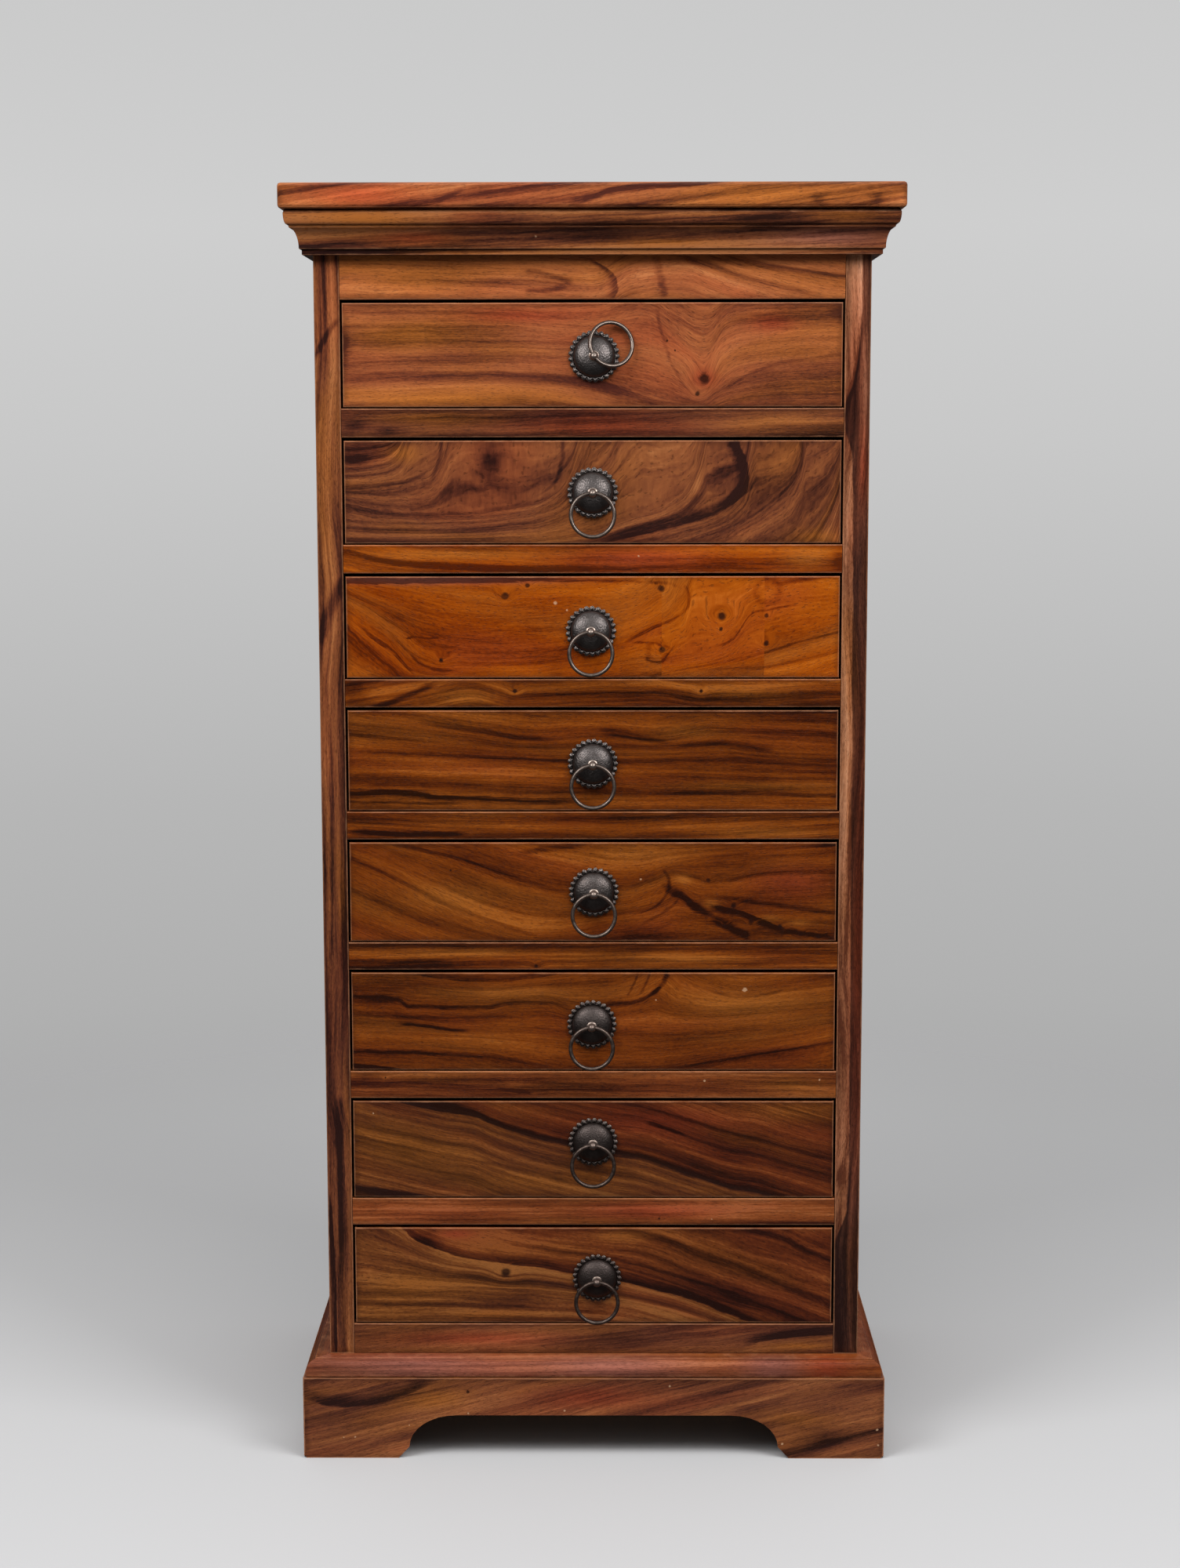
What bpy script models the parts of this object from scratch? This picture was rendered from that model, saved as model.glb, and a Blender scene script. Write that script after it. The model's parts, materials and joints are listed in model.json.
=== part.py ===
"""A tall, narrow chest of eight drawers in rosewood, with iron ring pulls.

Metres, +Z up. The front faces -Y. The origin lies on the floor, under the middle of the top board.
Drawers and rails are numbered from the top.
"""
import math

import bmesh
import bpy
from mathutils import Matrix, Vector

# Gap that pieces which touch keep between their faces
SEAT_GAP = 0.0003

# Top board
TOP_WIDTH = 0.600
TOP_DEPTH = 0.400
TOP_THICKNESS = 0.024
TOP_OVERHANG = 0.030
TOP_EASE = 0.003

# Cornice under the top board: each member's height, and how far it stands out past the one below it
CORNICE_BEAD_HEIGHT = 0.0055
CORNICE_BEAD_REACH = 0.0095
CORNICE_COVE_HEIGHT = 0.0195
CORNICE_COVE_STEP = 0.0025
CORNICE_COVE_SWEEP = 0.0085
CORNICE_FILLET_HEIGHT = 0.003
CORNICE_OVOLO_HEIGHT = 0.0145
CORNICE_OVOLO_STEP = 0.002
CORNICE_OVOLO_SWEEP = 0.0028
CORNICE_QUIRK_HEIGHT = 0.0036
CORNICE_QUIRK_DEPTH = 0.0015

# Carcass
SIDE_THICKNESS = 0.025
BACK_THICKNESS = 0.008
BACK_REBATE = 0.010
RAIL_HEIGHT = 0.028
RAIL_DEPTH = 0.030
BOTTOM_RAIL_HEIGHT = 0.0319
FRIEZE_HEIGHT = 0.042
FRIEZE_DEPTH = 0.022
TENON_LENGTH = 0.010
TENON_SHOULDER = 0.005
EDGE_EASE = 0.0012

# Drawer runners, with a rear upright on each side that the drawers stop against
RUNNER_WIDTH = 0.018
RUNNER_HEIGHT = 0.020
RUNNER_RISE = 0.001
UPRIGHT_DEPTH = 0.020

# Drawers
DRAWER_COUNT = 8
OPENING_HEIGHT = 0.1043
FRONT_THICKNESS = 0.020
FRONT_TOP_GAP = 0.0031
FRONT_SIDE_GAP = 0.0022
BOX_SIDE_GAP = 0.003
BOX_WALL = 0.012
BOX_DROP = 0.018
BOX_BOTTOM_THICKNESS = 0.006
BOX_BOTTOM_RISE = 0.008

# Plinth, and the base frame with a moulded edge that lies on it and carries the carcass
PLINTH_HEIGHT = 0.0846
PLINTH_LEDGE = 0.0028
PLINTH_THICKNESS = 0.022
FOOT_WIDTH = 0.0993
FOOT_SPLAY = 0.0083
FOOT_EASE = 0.003
ARCH_SPRING = 0.012
ARCH_HEIGHT = 0.0455
ARCH_CURVE_LENGTH = 0.048
ARCH_CURVE_STEPS = 8
BASE_INNER_LEDGE = 0.013
BASE_FLAT_REACH = 0.014
BASE_STEP = 0.001
BASE_OVOLO_HEIGHT = 0.0105
BASE_OVOLO_SWEEP = 0.0085
BASE_FILLET_HEIGHT = 0.0055

# Ring pulls: rosette, eye post and ring
DOME_RADIUS = 0.018
DOME_RISE = 0.007
BORDER_WIDTH = 0.007
BORDER_RISE = 0.0021
BORDER_LOBES = 24
BORDER_LOBE_DEPTH = 0.0016
RIM_HEIGHT = 0.0024
SHANK_RADIUS = 0.003
SHANK_CLEARANCE = 0.0004
COLLAR_RADIUS = 0.0052
COLLAR_HEIGHT = 0.0012
NECK_RADIUS = 0.003
NECK_LENGTH = 0.0001
EYE_RADIUS = 0.0043
NUT_RADIUS = 0.0055
NUT_HEIGHT = 0.004
RING_RADIUS = 0.02125
RING_WIRE_RADIUS = 0.002
RING_CLEARANCE = 0.0003

# How far each pull sits right of and above its drawer's middle. The top ring is turned up and leans on it
PULL_OFFSETS = (
    (0.0016, -0.0014),
    (0.0002, -0.0007),
    (-0.0017, -0.0037),
    (0.0, -0.0030),
    (0.0009, 0.0001),
    (-0.0013, -0.0026),
    (-0.0002, 0.0082),
    (0.0036, -0.0023),
)
TOP_PULL_TURN = math.radians(124.0)

# Points closer than this are one point
MERGE_DISTANCE = 1e-6

# Facets of the round pieces, and the angle past which their edges stay sharp
DOME_FACETS = 24
POST_FACETS = 12
EYE_STEPS = 6
RING_FACETS = 24
WIRE_FACETS = 8
CURVE_STEPS = 4
SHARP_ANGLE = math.radians(40.0)

# Colours
ROSEWOOD = (0.105, 0.034, 0.014)
ROSEWOOD_RED = (0.118, 0.032, 0.015)
ROSEWOOD_DARK = (0.060, 0.022, 0.012)
FRONT_COLOURS = (
    (0.165, 0.055, 0.017),
    (0.090, 0.030, 0.012),
    (0.195, 0.068, 0.018),
    (0.115, 0.035, 0.012),
    (0.170, 0.062, 0.016),
    (0.110, 0.038, 0.014),
    (0.082, 0.029, 0.012),
    (0.120, 0.043, 0.015),
)
LINING = (0.330, 0.190, 0.090)
IRON = (0.045, 0.042, 0.040)
WOOD_ROUGHNESS = 0.36
LINING_ROUGHNESS = 0.62
IRON_ROUGHNESS = 0.42

# Places worked out from the sizes
FRONT_Y = TOP_OVERHANG - TOP_DEPTH / 2
BACK_Y = TOP_DEPTH / 2
HALF_WIDTH = TOP_WIDTH / 2 - TOP_OVERHANG
OPENING_HALF = HALF_WIDTH - SIDE_THICKNESS
BASE_REACH = BASE_FLAT_REACH + BASE_OVOLO_SWEEP
BASE_THICKNESS = BASE_FILLET_HEIGHT + BASE_OVOLO_HEIGHT + BASE_STEP
PLINTH_OVERHANG = BASE_REACH + PLINTH_LEDGE
CARCASS_BOTTOM = PLINTH_HEIGHT + BASE_THICKNESS
PITCH = OPENING_HEIGHT + RAIL_HEIGHT
LOWEST_OPENING = CARCASS_BOTTOM + BOTTOM_RAIL_HEIGHT
FRIEZE_BOTTOM = LOWEST_OPENING + DRAWER_COUNT * PITCH - RAIL_HEIGHT
CORNICE_BOTTOM = FRIEZE_BOTTOM + FRIEZE_HEIGHT
CORNICE_HEIGHT = CORNICE_OVOLO_HEIGHT + CORNICE_FILLET_HEIGHT + CORNICE_COVE_HEIGHT + CORNICE_BEAD_HEIGHT
TOP_BOTTOM = CORNICE_BOTTOM + CORNICE_HEIGHT
BACK_PANEL_Y = BACK_Y - BACK_THICKNESS
UPRIGHT_Y = BACK_PANEL_Y - SEAT_GAP - UPRIGHT_DEPTH
FRONT_BOTTOM_GAP = RUNNER_RISE + SEAT_GAP
FRONT_HEIGHT = OPENING_HEIGHT - FRONT_TOP_GAP - FRONT_BOTTOM_GAP
FRONT_HALF = OPENING_HALF - FRONT_SIDE_GAP
BOX_HALF = OPENING_HALF - BOX_SIDE_GAP
BOX_HEIGHT = FRONT_HEIGHT - BOX_DROP
BOX_LENGTH = UPRIGHT_Y - SEAT_GAP - (FRONT_Y + FRONT_THICKNESS + SEAT_GAP)
BORDER_TOP = RIM_HEIGHT + BORDER_RISE
DOME_TOP = BORDER_TOP + DOME_RISE
NECK_TURN = math.asin(NECK_RADIUS / EYE_RADIUS)
COLLAR_TOP = DOME_TOP + SEAT_GAP + COLLAR_HEIGHT
EYE_HEIGHT = COLLAR_TOP + NECK_LENGTH + EYE_RADIUS * math.cos(NECK_TURN)
RING_LEAN = math.asin((EYE_HEIGHT - RING_WIRE_RADIUS - 2 * SEAT_GAP) / (2 * RING_RADIUS))
EYE_HOLE_RADIUS = RING_WIRE_RADIUS + EYE_RADIUS ** 2 / (2 * RING_RADIUS) + RING_CLEARANCE


def opening_bottom(number):
    """Height of the lower edge of a drawer's opening; drawer 1 is the top one."""
    return LOWEST_OPENING + (DRAWER_COUNT - number) * PITCH


def clear_scene():
    for old in list(bpy.data.objects):
        bpy.data.objects.remove(old, do_unlink=True)


def make_material(name, colour, roughness, metallic=0.0):
    material = bpy.data.materials.new(name)
    material.use_nodes = True
    shader = material.node_tree.nodes["Principled BSDF"]
    shader.inputs["Base Color"].default_value = (*colour, 1.0)
    shader.inputs["Roughness"].default_value = roughness
    shader.inputs["Metallic"].default_value = metallic
    return material


def wood(name, colour):
    return make_material(name + "_wood", colour, WOOD_ROUGHNESS)


def iron(name):
    return make_material(name + "_iron", IRON, IRON_ROUGHNESS, metallic=1.0)


def new_object(name, shape, material=None, location=(0, 0, 0), rotation=(0, 0, 0), parent=None):
    """Turn a bmesh into a linked object, with its faces pointing out."""
    bmesh.ops.recalc_face_normals(shape, faces=shape.faces)
    mesh = bpy.data.meshes.new(name)
    shape.to_mesh(mesh)
    shape.free()
    if material:
        mesh.materials.append(material)
    piece = bpy.data.objects.new(name, mesh)
    piece.location = location
    piece.rotation_euler = rotation
    piece.parent = parent
    bpy.context.scene.collection.objects.link(piece)
    return piece


def new_empty(name, location, rotation=(0, 0, 0), parent=None):
    empty = bpy.data.objects.new(name, None)
    empty.location = location
    empty.rotation_euler = rotation
    empty.parent = parent
    bpy.context.scene.collection.objects.link(empty)
    return empty


def combine(piece, shape, operation):
    """Join a shape to a piece, or cut it out, in the piece's own frame."""
    tool = new_object(piece.name + "_" + operation.lower(), shape, parent=piece)
    tool.hide_render = True
    tool.display_type = "WIRE"
    modifier = piece.modifiers.new(operation.lower(), "BOOLEAN")
    modifier.operation = operation
    modifier.solver = "EXACT"
    modifier.object = tool


def shade_round(piece):
    piece.data.shade_smooth()
    piece.data.set_sharp_from_angle(angle=SHARP_ANGLE)


def add_box(shape, low, high):
    size = [b - a for a, b in zip(low, high)]
    centre = [(a + b) / 2 for a, b in zip(low, high)]
    place = Matrix.Translation(centre) @ Matrix.Diagonal((*size, 1.0))
    return bmesh.ops.create_cube(shape, size=1.0, matrix=place)["verts"]


def box_shape(low, high):
    shape = bmesh.new()
    add_box(shape, low, high)
    return shape


def front_edges(shape, axis=None):
    """Edges that lie in the front face, or only those of them that run along one axis."""
    front = min(vert.co.y for vert in shape.verts)
    edges = [edge for edge in shape.edges if max(vert.co.y for vert in edge.verts) < front + MERGE_DISTANCE]
    if axis is None:
        return edges
    return [edge for edge in edges if abs(edge.verts[0].co[axis] - edge.verts[1].co[axis]) > MERGE_DISTANCE]


def ease_edges(shape, edges, width):
    bmesh.ops.bevel(shape, geom=edges, offset=width, segments=2, profile=0.5, affect="EDGES")


def turned_shape(profile, facets):
    """Spin a profile of (radius, height) points round Z."""
    shape = bmesh.new()
    points = [shape.verts.new((radius, 0, height)) for radius, height in profile]
    edges = [shape.edges.new(pair) for pair in zip(points, points[1:])]
    bmesh.ops.spin(shape, geom=points + edges, axis=(0, 0, 1), cent=(0, 0, 0), angle=math.tau, steps=facets)
    bmesh.ops.remove_doubles(shape, verts=shape.verts, dist=MERGE_DISTANCE)
    return shape


def rod_shape(radius, reach):
    """A round rod along Z that reaches equally far up and down."""
    return turned_shape([(0, reach), (radius, reach), (radius, -reach), (0, -reach)], POST_FACETS)


def arc_points(start, end, leaves, steps):
    """Points of a quarter ellipse between two points, which leaves the first one level or upright."""
    corner = (end[0], start[1]) if leaves == "level" else (start[0], end[1])
    points = []
    for step in range(steps + 1):
        turn = math.pi / 2 * step / steps
        to_corner = math.sin(turn)
        past_corner = 1 - math.cos(turn)
        points.append(
            tuple(a + (c - a) * to_corner + (b - c) * past_corner for a, b, c in zip(start, end, corner))
        )
    return points


def mitred_moulding(profile, front, back, half_width):
    """Run a closed profile of (reach, height) points along the left side, the front and the right side."""
    shape = bmesh.new()
    rows = []
    for reach, height in profile:
        outer = half_width + reach
        path = ((-outer, back), (-outer, front - reach), (outer, front - reach), (outer, back))
        rows.append([shape.verts.new((x, y, height)) for x, y in path])
    for row, following in zip(rows, rows[1:] + rows[:1]):
        for step in range(3):
            shape.faces.new((row[step], row[step + 1], following[step + 1], following[step]))
    shape.faces.new([row[0] for row in rows])
    shape.faces.new([row[3] for row in rows])
    return shape


def make_top_board():
    half = TOP_WIDTH / 2
    shape = box_shape((-half, -TOP_DEPTH / 2, 0), (half, TOP_DEPTH / 2, TOP_THICKNESS))
    ease_edges(shape, shape.edges[:], TOP_EASE)
    new_object("top_board", shape, wood("top_board", ROSEWOOD), (0, 0, TOP_BOTTOM))


def cornice_profile():
    """Bead, cove, fillet and ovolo, from the bottom up, with a flat back."""
    bead_top = CORNICE_BEAD_HEIGHT
    cove_foot = CORNICE_BEAD_REACH + CORNICE_COVE_STEP
    cove_top = bead_top + CORNICE_COVE_HEIGHT
    fillet = cove_foot + CORNICE_COVE_SWEEP
    fillet_top = cove_top + CORNICE_FILLET_HEIGHT
    ovolo_foot = fillet + CORNICE_OVOLO_STEP
    belly = ovolo_foot + CORNICE_OVOLO_SWEEP
    top = fillet_top + CORNICE_OVOLO_HEIGHT - SEAT_GAP
    belly_height = top - CORNICE_QUIRK_HEIGHT
    profile = [(SEAT_GAP, top), (SEAT_GAP, 0), (CORNICE_BEAD_REACH, 0), (CORNICE_BEAD_REACH, bead_top)]
    profile += arc_points((cove_foot, bead_top), (fillet, cove_top), "upright", CURVE_STEPS)
    profile.append((fillet, fillet_top))
    profile += arc_points((ovolo_foot, fillet_top), (belly, belly_height), "level", CURVE_STEPS)
    profile.append((belly - CORNICE_QUIRK_DEPTH, top))
    return profile


def make_cornice():
    shape = mitred_moulding(cornice_profile(), FRONT_Y, BACK_Y, HALF_WIDTH)
    new_object("cornice", shape, wood("cornice", ROSEWOOD), (0, 0, CORNICE_BOTTOM))


def rail_levels():
    """Name, lower edge, upper edge and depth of each rail that is tenoned into the sides."""
    levels = [("frieze_rail", FRIEZE_BOTTOM, TOP_BOTTOM - SEAT_GAP, FRIEZE_DEPTH)]
    for number in range(1, DRAWER_COUNT):
        upper = opening_bottom(number)
        levels.append((f"drawer_rail_{number}", upper - RAIL_HEIGHT, upper, RAIL_DEPTH))
    levels.append(("bottom_rail", CARCASS_BOTTOM + SEAT_GAP, LOWEST_OPENING, RAIL_DEPTH))
    return levels


def tenon_section(lower, upper, depth, play):
    """Low and high (y, z) of a rail's tenon behind the carcass front, grown by the play."""
    low = (FRONT_Y + TENON_SHOULDER - play, lower + TENON_SHOULDER - play)
    high = (FRONT_Y + depth - TENON_SHOULDER + play, upper - TENON_SHOULDER + play)
    return low, high


def make_rail(name, lower, upper, depth, colour):
    half = OPENING_HALF - SEAT_GAP
    shape = box_shape((-half, FRONT_Y, lower), (half, FRONT_Y + depth, upper))
    ease_edges(shape, front_edges(shape, axis=0), EDGE_EASE)
    rail = new_object(name, shape, wood(name, colour))
    end = OPENING_HALF + TENON_LENGTH
    low, high = tenon_section(lower, upper, depth, 0)
    combine(rail, box_shape((-end, *low), (end, *high)), "UNION")


def make_rails():
    for name, lower, upper, depth in rail_levels():
        colour = ROSEWOOD_RED if name.startswith("drawer") else ROSEWOOD
        make_rail(name, lower, upper, depth, colour)


def make_side(name, hand):
    """One side board: mortises for the rails, and a rebate for the back panel."""
    low_z = CARCASS_BOTTOM + SEAT_GAP
    shape = box_shape((OPENING_HALF, FRONT_Y, low_z), (HALF_WIDTH, BACK_Y, TOP_BOTTOM - SEAT_GAP))
    ease_edges(shape, front_edges(shape, axis=2), EDGE_EASE)
    cuts = bmesh.new()
    mortise_end = OPENING_HALF + TENON_LENGTH + SEAT_GAP
    for _, lower, upper, depth in rail_levels():
        low, high = tenon_section(lower, upper, depth, SEAT_GAP)
        add_box(cuts, (OPENING_HALF - TENON_LENGTH, *low), (mortise_end, *high))
    rebate_low = (OPENING_HALF - BACK_REBATE, BACK_PANEL_Y - SEAT_GAP, 0)
    rebate_high = (OPENING_HALF + BACK_REBATE, BACK_Y + BACK_THICKNESS, TOP_BOTTOM + TOP_THICKNESS)
    add_box(cuts, rebate_low, rebate_high)
    for part in (shape, cuts):
        bmesh.ops.scale(part, vec=(hand, 1, 1), verts=part.verts)
    side = new_object(name, shape, wood(name, ROSEWOOD))
    combine(side, cuts, "DIFFERENCE")


def make_back_panel():
    half = OPENING_HALF + BACK_REBATE - SEAT_GAP
    low = (-half, BACK_PANEL_Y, CARCASS_BOTTOM + SEAT_GAP)
    shape = box_shape(low, (half, BACK_Y, TOP_BOTTOM - SEAT_GAP))
    new_object("back_panel", shape, wood("back_panel", ROSEWOOD_DARK))


def make_runner_frame(name, hand):
    """Runners and the kicker over the top drawer, joined by the upright that stops the drawers."""
    outer = OPENING_HALF - SEAT_GAP
    inner = outer - RUNNER_WIDTH
    floor = CARCASS_BOTTOM + SEAT_GAP
    kicker_top = FRIEZE_BOTTOM + RUNNER_HEIGHT
    upright_top = kicker_top + RUNNER_HEIGHT
    upright = box_shape((inner, UPRIGHT_Y, floor), (outer, UPRIGHT_Y + UPRIGHT_DEPTH, upright_top))
    bars = [(kicker_top, FRIEZE_DEPTH)]
    for number in range(1, DRAWER_COUNT + 1):
        bars.append((opening_bottom(number) + RUNNER_RISE, RAIL_DEPTH))
    rungs = bmesh.new()
    for top, rail_depth in bars:
        low = (inner, FRONT_Y + rail_depth + SEAT_GAP, top - RUNNER_HEIGHT)
        add_box(rungs, low, (outer, UPRIGHT_Y + UPRIGHT_DEPTH / 2, top))
    for part in (upright, rungs):
        bmesh.ops.scale(part, vec=(hand, 1, 1), verts=part.verts)
    frame = new_object(name, upright, make_material(name + "_wood", LINING, LINING_ROUGHNESS))
    combine(frame, rungs, "UNION")


def base_profile():
    """Flat top with a step, an ovolo and a fillet; the carcass stands on the flat."""
    inner = -SIDE_THICKNESS - BASE_INNER_LEDGE
    ovolo_top = BASE_FILLET_HEIGHT + BASE_OVOLO_HEIGHT
    profile = [(inner, BASE_THICKNESS), (inner, SEAT_GAP), (BASE_REACH, SEAT_GAP)]
    profile += arc_points(
        (BASE_REACH, BASE_FILLET_HEIGHT), (BASE_FLAT_REACH, ovolo_top), "upright", CURVE_STEPS
    )
    profile.append((BASE_FLAT_REACH, BASE_THICKNESS))
    return profile


def make_base_frame():
    shape = mitred_moulding(base_profile(), FRONT_Y, BACK_Y, HALF_WIDTH)
    new_object("base_frame", shape, wood("base_frame", ROSEWOOD_RED), (0, 0, PLINTH_HEIGHT))


def plinth_outline(length):
    """Outline of a plinth board: (distance along it, height, which mitred end the point belongs to)."""
    corner = [(0, PLINTH_HEIGHT, -1), (0, FOOT_EASE, -1), (FOOT_EASE, 0, -1)]
    inner = [(FOOT_WIDTH - FOOT_EASE, 0), (FOOT_WIDTH, FOOT_EASE)]
    spring = FOOT_WIDTH + FOOT_SPLAY
    curve_length = min(ARCH_CURVE_LENGTH, length / 2 - spring - FOOT_EASE)
    crown = (spring + curve_length, ARCH_HEIGHT)
    inner += arc_points((spring, ARCH_SPRING), crown, "upright", ARCH_CURVE_STEPS)
    near = corner + [(along, height, 0) for along, height in inner]
    far = [(length - along, height, -end) for along, height, end in reversed(near)]
    return near + far


def plinth_board(length, mitre_near, mitre_far, along, inward):
    """A board from its outer near corner; its inner face is cut back at each mitred end."""
    shape = bmesh.new()
    outer = []
    inner = []
    for distance, height, end in plinth_outline(length):
        cut_back = {-1: mitre_near, 0: 0.0, 1: -mitre_far}[end]
        face_point = along * distance
        back_point = along * (distance + cut_back) + inward * PLINTH_THICKNESS
        outer.append(shape.verts.new((*face_point, height)))
        inner.append(shape.verts.new((*back_point, height)))
    shape.faces.new(outer)
    shape.faces.new(inner)
    for index in range(len(outer)):
        shape.faces.new((outer[index - 1], outer[index], inner[index], inner[index - 1]))
    return shape


def make_plinth():
    half = HALF_WIDTH + PLINTH_OVERHANG
    front = FRONT_Y - PLINTH_OVERHANG
    across = Vector((1, 0))
    back = Vector((0, 1))
    shape = plinth_board(2 * half, PLINTH_THICKNESS, PLINTH_THICKNESS, across, back)
    new_object("plinth_front", shape, wood("plinth_front", ROSEWOOD_RED), (-half, front, 0))
    near = front + SEAT_GAP * math.sqrt(2)
    for name, hand in (("plinth_left", -1), ("plinth_right", 1)):
        shape = plinth_board(BACK_Y - near, PLINTH_THICKNESS, 0.0, back, -hand * across)
        new_object(name, shape, wood(name, ROSEWOOD_RED), (hand * half, near, 0))


def make_drawer_front(number, drawer):
    name = f"drawer_front_{number}"
    shape = box_shape((-FRONT_HALF, 0, 0), (FRONT_HALF, FRONT_THICKNESS, FRONT_HEIGHT))
    ease_edges(shape, front_edges(shape), EDGE_EASE)
    colour = FRONT_COLOURS[(number - 1) % len(FRONT_COLOURS)]
    front = new_object(name, shape, wood(name, colour), parent=drawer)
    hole = rod_shape(SHANK_RADIUS + SHANK_CLEARANCE, 2 * FRONT_THICKNESS)
    bmesh.ops.rotate(hole, matrix=Matrix.Rotation(math.pi / 2, 3, "X"), verts=hole.verts)
    bmesh.ops.translate(hole, vec=pull_place(number), verts=hole.verts)
    combine(front, hole, "DIFFERENCE")


def make_drawer_box(number, drawer):
    """Sides, back and bottom of a drawer; the bottom sits above the lower edges that slide."""
    name = f"drawer_box_{number}"
    shape = box_shape((-BOX_HALF, 0, 0), (BOX_HALF, BOX_LENGTH, BOX_HEIGHT))
    material = make_material(name + "_wood", LINING, LINING_ROUGHNESS)
    place = (0, FRONT_THICKNESS + SEAT_GAP, 0)
    box = new_object(name, shape, material, place, parent=drawer)
    inside = BOX_HALF - BOX_WALL
    rear = BOX_LENGTH - BOX_WALL
    cuts = bmesh.new()
    floor = BOX_BOTTOM_RISE + BOX_BOTTOM_THICKNESS
    add_box(cuts, (-inside, -BOX_WALL, floor), (inside, rear, 2 * BOX_HEIGHT))
    add_box(cuts, (-inside, -BOX_WALL, -BOX_BOTTOM_RISE), (inside, rear, BOX_BOTTOM_RISE))
    combine(box, cuts, "DIFFERENCE")


def pull_place(number):
    """Middle of a pull on its drawer's front, in the drawer's frame."""
    right, up = PULL_OFFSETS[(number - 1) % len(PULL_OFFSETS)]
    return (right, 0, FRONT_HEIGHT / 2 + up)


def rosette_loop(shape, radius, height, count, lobe_depth=0.0):
    """A closed loop of edges round Z; every second point steps in by the lobe depth."""
    points = []
    for index in range(count):
        turn = math.tau * index / count
        reach = radius - lobe_depth * (index % 2)
        points.append(shape.verts.new((reach * math.cos(turn), reach * math.sin(turn), height)))
    return [shape.edges.new((points[index - 1], points[index])) for index in range(count)]


def make_rosette(number, pull):
    """Domed rosette with a lobed border, and a hole for the post."""
    name = f"rosette_{number}"
    hole = SHANK_RADIUS + SHANK_CLEARANCE
    rim = DOME_RADIUS + BORDER_WIDTH
    rim_facets = 2 * BORDER_LOBES
    shoulder = math.sqrt(0.5)
    shape = bmesh.new()
    loops = [
        rosette_loop(shape, hole, SEAT_GAP, DOME_FACETS),
        rosette_loop(shape, rim, SEAT_GAP, rim_facets, BORDER_LOBE_DEPTH),
        rosette_loop(shape, rim, RIM_HEIGHT, rim_facets, BORDER_LOBE_DEPTH),
        rosette_loop(shape, DOME_RADIUS, BORDER_TOP, DOME_FACETS),
        rosette_loop(shape, DOME_RADIUS * shoulder, BORDER_TOP + DOME_RISE * shoulder, DOME_FACETS),
        rosette_loop(shape, hole, DOME_TOP, DOME_FACETS),
    ]
    for loop, following in zip(loops, loops[1:] + loops[:1]):
        bmesh.ops.bridge_loops(shape, edges=loop + following)
    shade_round(new_object(name, shape, iron(name), parent=pull))


def post_profile():
    """Eye, neck, collar, shank and nut, from the tip to the inside of the drawer."""
    seat = DOME_TOP + SEAT_GAP
    nut_top = -FRONT_THICKNESS - SEAT_GAP
    profile = []
    for step in range(EYE_STEPS + 1):
        turn = (math.pi - NECK_TURN) * step / EYE_STEPS
        profile.append((EYE_RADIUS * math.sin(turn), EYE_HEIGHT + EYE_RADIUS * math.cos(turn)))
    profile += [
        (NECK_RADIUS, COLLAR_TOP),
        (COLLAR_RADIUS, COLLAR_TOP),
        (COLLAR_RADIUS, seat),
        (SHANK_RADIUS, seat),
        (SHANK_RADIUS, nut_top),
        (NUT_RADIUS, nut_top),
        (NUT_RADIUS, nut_top - NUT_HEIGHT),
        (0, nut_top - NUT_HEIGHT),
    ]
    return profile


def make_eye_post(number, swivel):
    name = f"eye_post_{number}"
    post = new_object(name, turned_shape(post_profile(), POST_FACETS), iron(name), parent=swivel)
    hole = rod_shape(EYE_HOLE_RADIUS, 2 * EYE_RADIUS)
    bmesh.ops.rotate(hole, matrix=Matrix.Rotation(math.pi / 2, 3, "Y"), verts=hole.verts)
    bmesh.ops.translate(hole, vec=(0, 0, EYE_HEIGHT), verts=hole.verts)
    combine(post, hole, "DIFFERENCE")
    shade_round(post)


def make_ring(number, swivel):
    """The ring hangs from the eye; its origin is in the eye, on the axis that it swings about."""
    name = f"ring_{number}"
    shape = bmesh.new()
    points = []
    for index in range(WIRE_FACETS):
        turn = math.tau * index / WIRE_FACETS
        reach = RING_RADIUS + RING_WIRE_RADIUS * math.cos(turn)
        points.append(shape.verts.new((0, reach, RING_WIRE_RADIUS * math.sin(turn))))
    edges = [shape.edges.new((points[index - 1], points[index])) for index in range(WIRE_FACETS)]
    bmesh.ops.spin(
        shape, geom=points + edges, axis=(0, 0, 1), cent=(0, 0, 0), angle=math.tau, steps=RING_FACETS
    )
    bmesh.ops.remove_doubles(shape, verts=shape.verts, dist=MERGE_DISTANCE)
    bmesh.ops.translate(shape, vec=(0, -RING_RADIUS, 0), verts=shape.verts)
    lean = RING_LEAN if number == 1 else 0.0
    shade_round(new_object(name, shape, iron(name), (0, 0, EYE_HEIGHT), (lean, 0, 0), swivel))


def make_drawer(number):
    """One drawer with its pull, under an empty at the middle of the front's lower edge."""
    lower = opening_bottom(number) + FRONT_BOTTOM_GAP
    drawer = new_empty(f"drawer_{number}", (0, FRONT_Y, lower))
    make_drawer_front(number, drawer)
    make_drawer_box(number, drawer)
    outward = (math.pi / 2, 0, 0)
    pull = new_empty(f"pull_{number}", pull_place(number), outward, drawer)
    turn = TOP_PULL_TURN if number == 1 else 0.0
    swivel = new_empty(f"swivel_{number}", (0, 0, 0), (0, 0, turn), pull)
    make_rosette(number, pull)
    make_eye_post(number, swivel)
    make_ring(number, swivel)


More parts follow.
